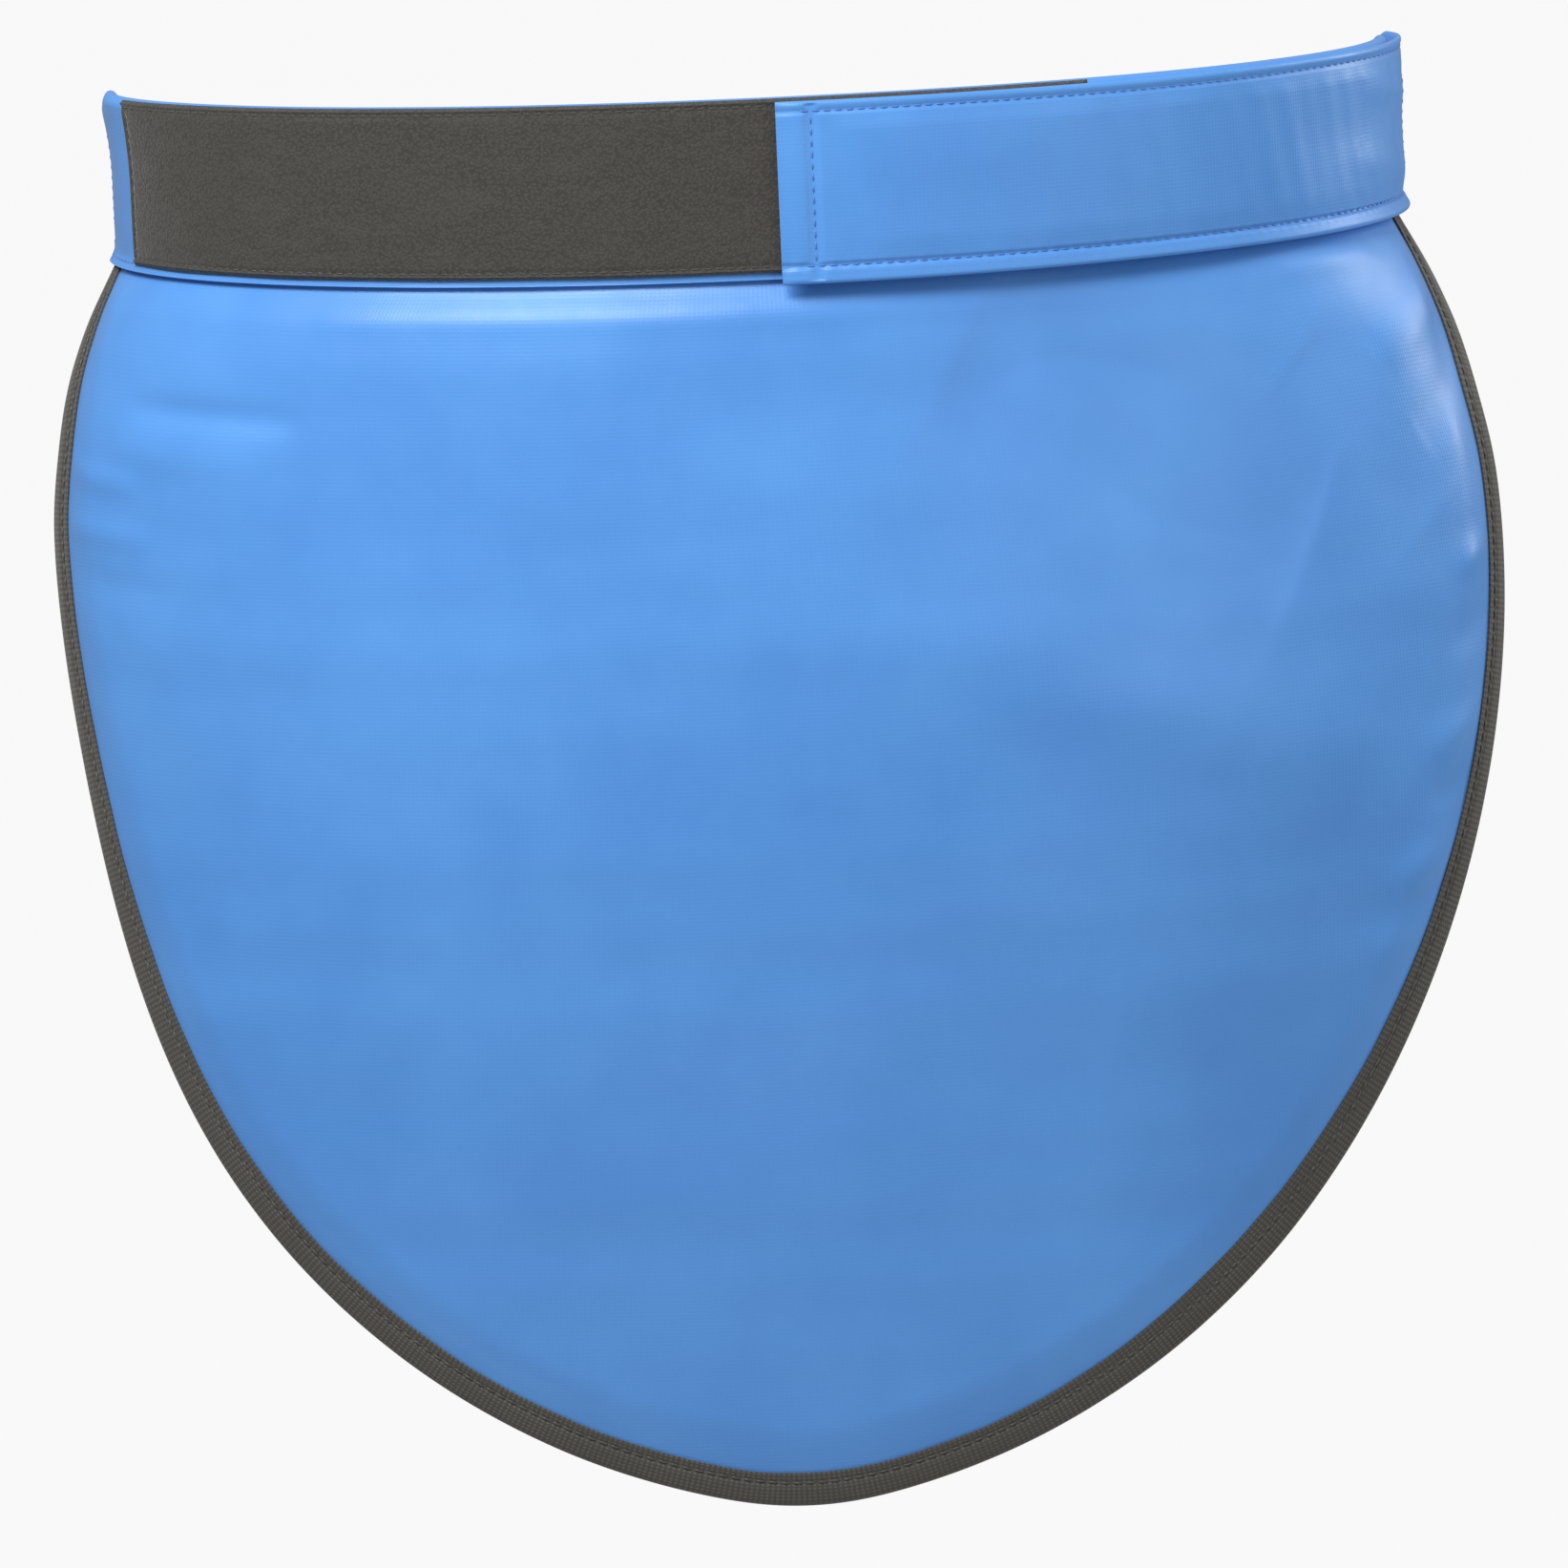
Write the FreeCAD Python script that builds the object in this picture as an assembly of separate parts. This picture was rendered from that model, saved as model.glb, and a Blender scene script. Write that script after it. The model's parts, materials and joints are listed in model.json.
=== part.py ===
"""Wrap-round groin protector: a heavy flexible shield that hangs from a hook-and-loop waist belt.

Row frame, millimetres: +Z up, the wearer faces -Y, and the origin is the centre of the wearer's
waist at the belt's mid height. Every flexible layer is a slab between two offsets of one curved
form, the wearer's hips, and is outlined in (angle round the hips, height).
"""

import FreeCAD, Part
import math
import os

Vector, Vector2d, Curve2d = FreeCAD.Vector, FreeCAD.Base.Vector2d, Part.Geom2d
NODES = {}

# ---- the form under the fabric ----
WAIST_HALF_WIDTH = 184.5  # half the form's width at the belt
FRONT_DEPTH = 118.0  # belly, forward of the hips
BACK_DEPTH = 104.0  # seat, behind the hips
FLARE = 36.0  # how much wider each side is low down
FLARE_HEIGHT = 50.0
FLARE_START = 20.0  # the flare begins this far under the belt's middle
EASE = 5.0  # rounds the corner where the flare starts
BULGE = 14.0  # the front swells and tucks in again
BULGE_PERIOD = 290.0
SWAY = 4.3  # the shield swings this far to one side of the belt below the hips
SWAY_REACH = 290.0  # and is back in line this far below where the flare starts
BACK_DROP = 15.0  # the strap sits lower at the back than at the hips

# ---- heights and reaches ----
BAND_HALF = 26.0  # the waistband is 52 tall
PANEL_TOP = 21.0  # where the covers end inside the waistband
CORE_TOP = -31.0
BAND_END = 95.0  # degrees each side of the front
PANEL_END = 88.0
PANEL_SIDE = 76.0  # degrees that the panel reaches to each side below the hips
PANEL_CURVE_TOP = -70.0  # height at which the sides start to round in towards the lowest point
PANEL_CURVE = (1.65, 1.68)  # how full the rounded stretch is, up and across
HIP_LEVELS = (-8.0, -24.0, -38.0, -54.0, -76.0)
CURVE_STEPS = 10
PANEL_LOW = -384.5

# ---- layers of the panel, as offsets outward from the form ----
REAR_COVER = (-1.8, -1.3)
REAR_CORE = (-1.2, -0.1)
FRONT_CORE = (0.0, 1.1)
FRONT_COVER = (1.2, 1.7)
BINDING_INNER = (-1.9, 1.8)
BINDING_THICK = 0.7
BINDING_WIDE = 10.0
BINDING_CLEAR = 0.1
THREAD = 0.3  # how far sewing thread stands proud
THREAD_WIDE = 0.8
# ---- layers of the waistband ----
WEBBING = (1.8, 3.1)
CASING_INNER = (-1.9, 3.2)
CASING_THICK = 0.6
WEBBING_HALF = 24.0
# ---- hook and loop ----
LOOP = (3.9, 5.5)
LOOP_HALF = 25.0
LOOP_SHIFT = 0.9  # the strip's top is level with the casing's
LOOP_FROM, LOOP_TO = -73.0, 31.0
HOOK = (5.85, 6.85)
HOOK_HALF = 22.5
HOOK_FROM, HOOK_TO = 4.6, 29.0
# ---- closure tab ----
TAB_OUTER = (6.95, 9.05)
TAB_INNER = (7.5, 8.5)
TAB_MIDDLE = 8.0
TAB_DROP = 2.4  # past the loop strip the tab lies closer to the waistband
TAB_DROP_FROM, TAB_DROP_TO = 33.0, 60.0
TAB_FROM, TAB_TO = 2.2, 97.0
TAB_TOP, TAB_BOTTOM = 23.0, -26.5
TAB_LIFT = 1.5  # the tab's top edge climbs past the waistband's at the hip
TAB_HEM = 2.0  # degrees from the tab's free end to the stitches of its hem
TAB_HEM_ROW = 5.0
TAB_ROOT_R = 1.3
# ---- elastic strap round the back ----
STRAP_HALF = 16.0
STRAP_THICK = 1.8
STITCH_BOX = 13.5  # half height of the boxes of stitches that fasten the strap
STRAP_START = 0.7  # the strap's middle leaves the waistband at this offset
STRAP_ROOT_R = 1.2
STRAP_ROOT_ANGLE = 95.7
STRAP_GAP = 2.5  # from the tab's hinge line to the strap's end

CORE_INSET = 9.0  # the core sheets stop short of the binding


def form(angle, height):
    """A point on the form: angle 0 is the front, 90 the wearer's left hip, 180 the back."""
    below = max(0.0, -height - FLARE_START)
    eased = below * below / (below + EASE)
    wide = WAIST_HALF_WIDTH + FLARE * math.tanh(eased / FLARE_HEIGHT)
    a = math.radians(angle)
    deep = BACK_DEPTH
    if math.cos(a) > 0:
        deep = FRONT_DEPTH + BULGE * math.sin(math.pi * eased / BULGE_PERIOD)
    sway = SWAY * math.sin(math.pi * min(below, SWAY_REACH) / SWAY_REACH) ** 2
    return Vector(wide * math.sin(a) + sway, -deep * math.cos(a), height)


def offset_point(angle, height, offset):
    """The point that stands offset outward from the form."""
    step = 0.01
    round_it = form(angle + step, height) - form(angle - step, height)
    up = form(angle, height + step) - form(angle, height - step)
    normal = round_it.cross(up)
    normal.normalize()
    return form(angle, height) + normal * offset


def rise(angle):
    """How far the belt's run stands above its height at the front: level to the hips, lower behind."""
    c = min(0.0, math.cos(math.radians(angle)))
    return -BACK_DROP * c * c


def smooth(value, low, high):
    t = min(1.0, max(0.0, (value - low) / (high - low)))
    return t * t * (3 - 2 * t)


def knots(low, high, poles):
    return [low + (high - low) * i / (poles - 3) for i in range(poles - 2)]


def greville(values):
    full = [values[0]] * 3 + values + [values[-1]] * 3
    return [sum(full[i + 1 : i + 4]) / 3 for i in range(len(values) + 2)]


def offset_surface(offset, angles, heights, poles):
    """A cubic surface at an offset from the form, whose parameters are angle and height. The offset
    may be a number, or a function of the angle."""
    at = offset if callable(offset) else lambda angle: offset
    u, v = knots(*angles, poles[0]), knots(*heights, poles[1])
    grid = [[offset_point(a, h, at(a)) for h in greville(v)] for a in greville(u)]
    surface = Part.BSplineSurface()
    ends = [[4] + [1] * (len(k) - 2) + [4] for k in (u, v)]
    surface.buildFromPolesMultsKnots(grid, *ends, u, v, False, False, 3, 3)
    return surface


FRONT = {"angles": (-100.0, 100.0), "heights": (-400.0, 40.0), "poles": (33, 47)}
BACK = {"angles": (90.0, 270.0), "heights": (-45.0, 45.0), "poles": (29, 9)}


def through(points):
    """A curve through points of (angle, height), straight if there are only two."""
    ends = [Vector2d(*p) for p in points]
    if len(ends) == 2:
        return Curve2d.Line2dSegment(*ends)
    curve = Curve2d.BSplineCurve2d()
    curve.interpolate(ends)
    return curve


def slab(low, high, outline, region=FRONT):
    """The solid between two offsets, inside a closed outline given as a list of point lists."""
    curves = [through(points) for points in outline]
    faces, loops = [], []
    for offset in (low, high):
        surface = offset_surface(offset, **region)
        edges = [curve.toShape(surface) for curve in curves]
        face = Part.Face(surface, Part.Wire(edges))
        face.validate()
        faces.append(face)
        loops.append(edges)
    faces += [Part.makeRuledSurface(a, b) for a, b in zip(*loops)]
    shell = Part.makeShell(faces)
    shell.sewShape()
    solid = Part.makeSolid(Part.Shell(shell.Faces))
    if not solid.isValid():
        solid.fix(1e-4, 1e-4, 1e-2)
    return solid


def spread(low, high, steps):
    return [low + (high - low) * i / steps for i in range(steps + 1)]


def strip_outline(start, end, bottom, top, steps=12):
    """Outline of a strip along the belt: bottom and top are functions of the angle."""
    angles = spread(start, end, steps)
    low = [(a, bottom(a)) for a in angles]
    high = [(a, top(a)) for a in reversed(angles)]
    return [low, [low[-1], high[0]], high, [high[-1], low[0]]]


def belt(height):
    """A line along the belt at a height from its middle."""
    return lambda angle: height + rise(angle)


def tab_top(angle):
    return TAB_TOP + rise(angle) + TAB_LIFT * smooth(angle, 30.0, 80.0)


def tab_offset(base):
    """Offset of a layer of the tab, as a function of the angle."""
    return lambda angle: base - TAB_DROP * smooth(angle, TAB_DROP_FROM, TAB_DROP_TO)


def shifted(line, by):
    return lambda angle: line(angle) + by


def panel_side():
    """Half of the panel's edge as (angle, height): in from the hips, then a rounded stretch."""
    wider = PANEL_END - PANEL_SIDE
    points = [(PANEL_SIDE + wider * (1 - smooth(-h, 8.0, 80.0)), h) for h in HIP_LEVELS]
    down, across = PANEL_CURVE
    for i in range(1, CURVE_STEPS):
        turn = math.radians(90 * i / CURVE_STEPS)
        fall = math.sin(turn) ** (2 / down)
        height = PANEL_CURVE_TOP + (PANEL_LOW - PANEL_CURVE_TOP) * fall
        points.append((PANEL_SIDE * math.cos(turn) ** (2 / across), height))
    return points


def inset_edge(by):
    """The panel's edge from right to left round the bottom, moved inward over the fabric."""
    right = panel_side()
    full = right + [(0.0, PANEL_LOW)] + [(-a, h) for a, h in reversed(right)]
    moved = []
    for i, (angle, height) in enumerate(full):
        before, after = full[max(i - 1, 0)], full[min(i + 1, len(full) - 1)]
        per_degree = (form(angle + 0.5, height) - form(angle - 0.5, height)).Length
        per_height = (form(angle, height + 0.5) - form(angle, height - 0.5)).Length
        run = (after[0] - before[0]) * per_degree
        climb = (after[1] - before[1]) * per_height
        length = math.hypot(run, climb)
        moved.append(
            (angle + by * climb / length / per_degree, height - by * run / length / per_height)
        )
    return moved


def panel_outline(inset, top):
    """The panel's outline, inset from its edge and closed along the top line."""
    edge = inset_edge(inset)
    kept = [p for p in edge if p[1] < top(p[0]) - 12]
    right, left = kept[0][0], kept[-1][0]
    edge = [(right, top(right))] + kept + [(left, top(left))]
    across = [(a, top(a)) for a in spread(left, right, 12)]
    return [edge, across]


def add(name, *solids):
    """Names a piece. A piece of several solids is a compound."""
    NODES[name] = solids[0] if len(solids) == 1 else Part.makeCompound(list(solids))


def thread_on(offset):
    """The outer side of a thread that lies on a face at that offset."""
    return shifted(offset, THREAD) if callable(offset) else offset + THREAD


def seam(offset, start, end, line):
    """A row of sewing thread along a line above a face at that offset."""
    outline = strip_outline(start, end, shifted(line, -THREAD_WIDE / 2), shifted(line, THREAD_WIDE / 2))
    return slab(offset, thread_on(offset), outline)


def cross_seam(offset, angle, bottom, top):
    """A row of sewing thread straight up the belt."""
    per_degree = (form(angle + 0.5, 0) - form(angle - 0.5, 0)).Length
    half = THREAD_WIDE / 2 / per_degree
    outline = strip_outline(angle - half, angle + half, bottom, top, 1)
    return slab(offset, thread_on(offset), outline)


def stitched_box(offset, start, end):
    """Four rows of thread round a box, as fastens a strap's end."""
    low, high = belt(-STITCH_BOX), belt(STITCH_BOX)
    sides = [cross_seam(offset, angle, low, high) for angle in (start, end)]
    return sides + [seam(offset, start + 0.4, end - 0.4, line) for line in (low, high)]


def make_panel():
    cover = BINDING_THICK + BINDING_CLEAR
    for name, layer in (("front_cover", FRONT_COVER), ("rear_cover", REAR_COVER)):
        add(name, slab(*layer, panel_outline(cover, belt(PANEL_TOP))))
    for name, layer in (("front_core_sheet", FRONT_CORE), ("rear_core_sheet", REAR_CORE)):
        add(name, slab(*layer, panel_outline(CORE_INSET, belt(CORE_TOP))))


def make_binding():
    """Tape folded over the panel's edge, from just under the waistband round to the other side."""
    outer = (BINDING_INNER[0] - BINDING_THICK, BINDING_INNER[1] + BINDING_THICK)
    full = belt(PANEL_TOP)
    tape = slab(*outer, panel_outline(0.0, full))
    tape = tape.cut(slab(*BINDING_INNER, panel_outline(BINDING_THICK, shifted(full, 4.0))))
    tape = tape.cut(slab(outer[0] - 2, outer[1] + 2, panel_outline(BINDING_WIDE, shifted(full, 4.0))))
    above = strip_outline(-99.0, 99.0, belt(-BAND_HALF - 0.4), belt(PANEL_TOP + 6.0))
    tape = tape.cut(slab(outer[0] - 3, outer[1] + 3, above))
    add("edge_binding", *tape.Solids)
    rows = []
    near, far = BINDING_WIDE - 2.6, BINDING_WIDE - 2.6 + THREAD_WIDE
    above = strip_outline(-99.0, 99.0, belt(-BAND_HALF - 3.0), belt(PANEL_TOP + 6.0))
    for offset in (outer[1], outer[0] - THREAD):
        row = slab(offset, offset + THREAD, panel_outline(near, full))
        row = row.cut(slab(offset - 2, offset + THREAD + 2, panel_outline(far, shifted(full, 4.0))))
        row = row.cut(slab(offset - 3, offset + THREAD + 3, above))
        rows += row.Solids
    add("edge_binding_thread", *rows)


def make_waistband():
    """The casing is folded over the panel's top edge, with webbing inside its front."""
    bottom, top = belt(-BAND_HALF), belt(BAND_HALF)
    outer = (CASING_INNER[0] - CASING_THICK, CASING_INNER[1] + CASING_THICK)
    casing = slab(*outer, strip_outline(-BAND_END, BAND_END, bottom, top))
    room = strip_outline(-BAND_END - 2, BAND_END + 2, shifted(bottom, -3), shifted(top, -CASING_THICK))
    casing = casing.cut(slab(*CASING_INNER, room))
    add("waistband_casing", *casing.Solids)
    webbing = strip_outline(-BAND_END, BAND_END, belt(-WEBBING_HALF), belt(WEBBING_HALF))
    add("waistband_webbing", slab(*WEBBING, webbing))
    rows = [seam(outer[1], -BAND_END + 1, BAND_END - 1, belt(-BAND_HALF + 0.6))]
    rows += [seam(outer[0] - THREAD, -BAND_END + 1, BAND_END - 1, belt(-BAND_HALF + 1.6))]
    add("waistband_thread", *rows)
    tacks = []
    for side in (-1, 1):
        ends = sorted((side * 85.6, side * 87.0))
        outline = strip_outline(*ends, belt(-BAND_HALF + 1.2), belt(-BAND_HALF + 8.2), 1)
        tacks.append(slab(outer[1], outer[1] + THREAD, outline))
    add("waistband_bartacks", *tacks)
    add("strap_anchor_thread", *stitched_box(outer[1], -BAND_END + 1.6, -BAND_END + 6.4))


def make_loop_strip():
    bottom, top = belt(LOOP_SHIFT - LOOP_HALF), belt(LOOP_SHIFT + LOOP_HALF)
    add("loop_strip", slab(*LOOP, strip_outline(LOOP_FROM, LOOP_TO, bottom, top)))
    levels = (LOOP_SHIFT - 23.0, LOOP_SHIFT + 23.0)
    rows = [seam(LOOP[1], LOOP_FROM + 1, HOOK_FROM - 3.2, belt(level)) for level in levels]
    rows += [cross_seam(LOOP[1], LOOP_FROM + 1, belt(-22.0), belt(22.0))]
    add("loop_strip_thread", *rows)


def tab_root():
    """The upright axis that the tab folds about."""
    return offset_point(TAB_TO, 0, TAB_MIDDLE - TAB_DROP)


def make_tab():
    """A folded sleeve of cover fabric round a stiff strip, with the hook strip on its inner face."""
    bottom = belt(TAB_BOTTOM)
    sleeve = slab(*map(tab_offset, TAB_OUTER), strip_outline(TAB_FROM, TAB_TO, bottom, tab_top))
    wall = TAB_INNER[0] - TAB_OUTER[0]
    inner = (shifted(bottom, wall), shifted(tab_top, -wall))
    room = strip_outline(TAB_FROM + 0.4, TAB_TO - 1.6, *inner)
    sleeve = sleeve.cut(slab(*map(tab_offset, TAB_INNER), room))
    foot = tab_root()
    low, high = bottom(TAB_TO), tab_top(TAB_TO)
    root = Part.makeCylinder(TAB_ROOT_R, high - low, Vector(foot.x, foot.y, low), Vector(0, 0, 1))
    add("tab_casing", *sleeve.fuse(root).Solids)
    fill = (shifted(bottom, wall + 0.3), shifted(tab_top, -wall - 0.3))
    middle = (TAB_INNER[0] + 0.05, TAB_INNER[1] - 0.05)
    add("tab_stiffener", slab(*map(tab_offset, middle), strip_outline(TAB_FROM + 1.0, TAB_TO - 2.4, *fill)))
    hook = strip_outline(HOOK_FROM, HOOK_TO, belt(-HOOK_HALF), belt(HOOK_HALF))
    add("hook_strip", slab(*HOOK, hook))
    rows = [seam(tab_offset(TAB_OUTER[1]), TAB_FROM + 1.2, TAB_TO - 6, shifted(bottom, TAB_HEM_ROW))]
    rows += [seam(tab_offset(TAB_OUTER[1]), TAB_FROM + 1.2, TAB_TO - 6, shifted(tab_top, -2.4))]
    hem = (shifted(bottom, TAB_HEM_ROW), shifted(tab_top, -2.8))
    rows += [cross_seam(tab_offset(TAB_OUTER[1]), TAB_FROM + TAB_HEM, *hem)]
    add("tab_thread", *rows)
    add("tab_strap_thread", *stitched_box(tab_offset(TAB_OUTER[1]), TAB_TO - 8.6, TAB_TO - 2.0))


def make_strap():
    """Woven elastic from the right hip of the wearer, round the back, to the tab's root."""
    start = 360.0 - STRAP_ROOT_ANGLE
    per_degree = (form(TAB_TO + 0.5, 0) - form(TAB_TO - 0.5, 0)).Length
    end = TAB_TO + STRAP_GAP / per_degree

    def middle(angle):
        return STRAP_START + (TAB_MIDDLE - TAB_DROP - STRAP_START) * smooth(-angle, -start + 20, -end - 20)

    half = STRAP_THICK / 2
    outline = strip_outline(end, start, belt(-STRAP_HALF), belt(STRAP_HALF))
    band = slab(lambda a: middle(a) - half, lambda a: middle(a) + half, outline, BACK)
    foot = offset_point(start, 0, middle(start))
    low = rise(start) - STRAP_HALF
    bead = Part.makeCylinder(STRAP_ROOT_R, 2 * STRAP_HALF, Vector(foot.x, foot.y, low), Vector(0, 0, 1))
    add("elastic_strap", *band.fuse(bead).Solids)
    print("strap hinge at", foot, "tab hinge at", tab_root())


for make in (make_panel, make_binding, make_waistband, make_loop_strip, make_tab, make_strap):
    make()
os.makedirs("parts", exist_ok=True)
for name, shape in NODES.items():
    shape.exportStep("parts/" + name + ".step")
    print(name, len(shape.Solids), shape.isValid())
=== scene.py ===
"""The looks of the wrap-round groin protector: coated fabric shell, bound edge, waist belt, closure tab.

Every fabric piece is built on the same curved form as the CAD: a point is (angle round the hips in
degrees, height in mm, offset outward in mm), and turns into metres only when its mesh is made.
"""

import bpy
import json
import math
import numpy as np
from mathutils import Matrix, Vector


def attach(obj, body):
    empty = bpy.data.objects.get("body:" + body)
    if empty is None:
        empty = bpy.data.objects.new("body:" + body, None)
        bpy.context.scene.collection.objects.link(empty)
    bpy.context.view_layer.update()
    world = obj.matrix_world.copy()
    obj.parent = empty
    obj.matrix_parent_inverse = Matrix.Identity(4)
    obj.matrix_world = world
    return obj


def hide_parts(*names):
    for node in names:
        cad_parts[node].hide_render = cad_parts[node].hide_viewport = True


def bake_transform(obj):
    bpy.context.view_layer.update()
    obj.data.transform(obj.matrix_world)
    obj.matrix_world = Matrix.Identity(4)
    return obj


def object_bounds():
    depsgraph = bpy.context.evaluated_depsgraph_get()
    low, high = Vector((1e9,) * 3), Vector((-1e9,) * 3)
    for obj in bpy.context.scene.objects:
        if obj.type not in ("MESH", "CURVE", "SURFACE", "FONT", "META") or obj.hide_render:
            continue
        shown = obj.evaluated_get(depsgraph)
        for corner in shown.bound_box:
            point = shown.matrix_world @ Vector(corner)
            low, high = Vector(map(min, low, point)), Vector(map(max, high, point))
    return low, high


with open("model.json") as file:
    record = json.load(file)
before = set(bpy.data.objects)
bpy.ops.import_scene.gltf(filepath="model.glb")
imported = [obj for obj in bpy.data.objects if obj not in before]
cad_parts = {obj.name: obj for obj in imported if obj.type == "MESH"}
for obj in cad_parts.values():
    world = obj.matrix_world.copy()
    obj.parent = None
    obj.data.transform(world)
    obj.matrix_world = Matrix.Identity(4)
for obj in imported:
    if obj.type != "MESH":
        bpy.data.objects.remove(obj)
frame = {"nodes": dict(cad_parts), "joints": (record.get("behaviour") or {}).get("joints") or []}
cad_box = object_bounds()

MM = 0.001
LOW = cad_box[0]

# ---- the form under the fabric, as in the CAD: mm, and degrees from the front ----
WAIST_HALF_WIDTH = 184.5
FRONT_DEPTH = 118.0
BACK_DEPTH = 104.0
FLARE = 36.0
FLARE_HEIGHT = 50.0
FLARE_START = 20.0
EASE = 5.0
BULGE = 14.0
BULGE_PERIOD = 290.0
SWAY = 4.3
SWAY_REACH = 290.0
BACK_DROP = 15.0
BAND_HALF = 26.0
BAND_END = 95.0
PANEL_END = 88.0
PANEL_SIDE = 76.0
PANEL_CURVE_TOP = -70.0
PANEL_CURVE = (1.65, 1.68)
HIP_LEVELS = (-8.0, -24.0, -38.0, -54.0, -76.0)
HIP_NARROWS = (8.0, 80.0)  # mm below the belt's middle: there the panel narrows
CURVE_STEPS = 10
PANEL_LOW = -384.5

# ---- the layers on the form: offsets and heights in mm, starts and ends in degrees ----
REAR_COVER = (-1.8, -1.3)
FRONT_COVER = (1.2, 1.7)
BINDING = (-2.6, 2.5)
BINDING_THICK = 0.7
BINDING_WIDE = 10.0
CASING = (-2.5, 3.8)
CASING_MIDDLE = 0.65
CASING_THICK = 0.6
LOOP = (3.9, 5.5)
LOOP_BOTTOM, LOOP_TOP = -24.1, 25.9
LOOP_FROM, LOOP_TO = -73.0, 31.0
HOOK = (5.85, 6.85)
HOOK_HALF = 22.5
HOOK_FROM, HOOK_TO = 4.6, 29.0
TAB = (6.95, 9.05)
TAB_MIDDLE = 8.0
TAB_DROP = 2.4
TAB_DROP_FROM, TAB_DROP_TO = 33.0, 60.0
TAB_FROM, TAB_TO = 2.2, 97.0
TAB_TOP, TAB_BOTTOM = 25.2, -27.9
TAB_LIFT = 0.4
TAB_WALL = 0.55
STRAP_HALF = 16.0
STRAP_THICK = 1.8
STRAP_START = 0.7
STRAP_ROOT_ANGLE = 95.7
STITCH_BOX = 13.5
CLOTH_RADIUS = 0.165  # metres: turns an angle into a length of cloth


# -------------------------------- the form
def form(angle, height):
    """Points in mm on an oval round the hips, which widens below the belt."""
    angle, height = np.broadcast_arrays(np.asarray(angle, float), np.asarray(height, float))
    below = np.maximum(0.0, -height - FLARE_START)
    eased = below * below / (below + EASE)
    wide = WAIST_HALF_WIDTH + FLARE * np.tanh(eased / FLARE_HEIGHT)
    a = np.radians(angle)
    front = FRONT_DEPTH + BULGE * np.sin(np.pi * eased / BULGE_PERIOD)
    deep = np.where(np.cos(a) > 0, front, BACK_DEPTH)
    sway = SWAY * np.sin(np.pi * np.minimum(below, SWAY_REACH) / SWAY_REACH) ** 2
    return np.stack([wide * np.sin(a) + sway, -deep * np.cos(a), height], -1)


def normals(angle, height):
    step = 0.01
    round_it = form(angle + step, height) - form(angle - step, height)
    up = form(angle, height + step) - form(angle, height - step)
    n = np.cross(round_it, up)
    return n / np.linalg.norm(n, axis=-1, keepdims=True)


def place(angle, height, offset):
    """Points in metres that stand offset outward from the form."""
    angle, height, offset = np.broadcast_arrays(*(np.asarray(x, float) for x in (angle, height, offset)))
    return (form(angle, height) + normals(angle, height) * offset[..., None]) * MM


def per_degree(angle, height=0.0):
    """Millimetres round the form in one degree."""
    return np.linalg.norm(form(angle + 0.5, height) - form(angle - 0.5, height), axis=-1)


def per_height(angle, height):
    return np.linalg.norm(form(angle, height + 0.5) - form(angle, height - 0.5), axis=-1)


def rise(angle):
    """Height of the belt's middle: it runs lower behind the hips."""
    c = np.minimum(0.0, np.cos(np.radians(angle)))
    return -BACK_DROP * c * c


def smooth(value, low, high):
    """A soft step from 0 at low to 1 at high."""
    t = np.clip((np.asarray(value, float) - low) / (high - low), 0, 1)
    return t * t * (3 - 2 * t)


def bump(value, middle, reach):
    """A smooth hump, 1 at the middle and 0 a reach away."""
    t = np.clip(np.abs((np.asarray(value, float) - middle) / reach), 0, 1)
    return (1 - t * t) ** 2


def wobble(x, seed, waves=5):
    """A smooth random line, about -1 to 1, the same each run."""
    rng = np.random.default_rng(seed)
    total = 0
    for k in range(1, waves + 1):
        pace, shift = rng.uniform(0.7, 1.3), rng.uniform(0, 6.3)
        total = total + np.sin(np.asarray(x, float) * k * pace + shift) / k**0.7
    return total / 2.2


# -------------------------------- the panel's edge
def resample(points, count):
    """Evenly spaced points along a line, measured over the fabric, with their tangents."""
    mid = (points[1:] + points[:-1]) / 2
    run = np.diff(points[:, 0]) * per_degree(mid[:, 0], mid[:, 1])
    climb = np.diff(points[:, 1]) * per_height(mid[:, 0], mid[:, 1])
    along = np.concatenate([[0], np.cumsum(np.hypot(run, climb))])
    at = np.linspace(0, along[-1], count)
    return np.stack([np.interp(at, along, points[:, i]) for i in (0, 1)], -1), at


def spline(points, per_span=24):
    """A smooth curve through points (Catmull-Rom)."""
    p = np.array(points, float)
    p = np.vstack([2 * p[0] - p[1], p, 2 * p[-1] - p[-2]])
    t = np.linspace(0, 1, per_span, endpoint=False)[:, None]
    spans = []
    for a, b, c, d in zip(p[:-3], p[1:-2], p[2:-1], p[3:]):
        second = 2 * a - 5 * b + 4 * c - d
        third = 3 * b - a - 3 * c + d
        spans.append(0.5 * (2 * b + (c - a) * t + second * t**2 + third * t**3))
    return np.vstack(spans + [p[-2:-1]])


def panel_side():
    """Half of the panel's edge as (angle, height): in from the hips, then a rounded stretch."""
    wider = PANEL_END - PANEL_SIDE
    points = [(PANEL_SIDE + wider * (1 - float(smooth(-h, *HIP_NARROWS))), h) for h in HIP_LEVELS]
    down, across = PANEL_CURVE
    for i in range(1, CURVE_STEPS):
        turn = math.radians(90 * i / CURVE_STEPS)
        height = PANEL_CURVE_TOP + (PANEL_LOW - PANEL_CURVE_TOP) * math.sin(turn) ** (2 / down)
        points.append((PANEL_SIDE * math.cos(turn) ** (2 / across), height))
    return points


def panel_edge(count):
    """The panel's edge from its right end round the bottom to its left end."""
    right = panel_side()
    full = right + [(0.0, PANEL_LOW)] + [(-a, h) for a, h in reversed(right)]
    return resample(spline(full), count)


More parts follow.
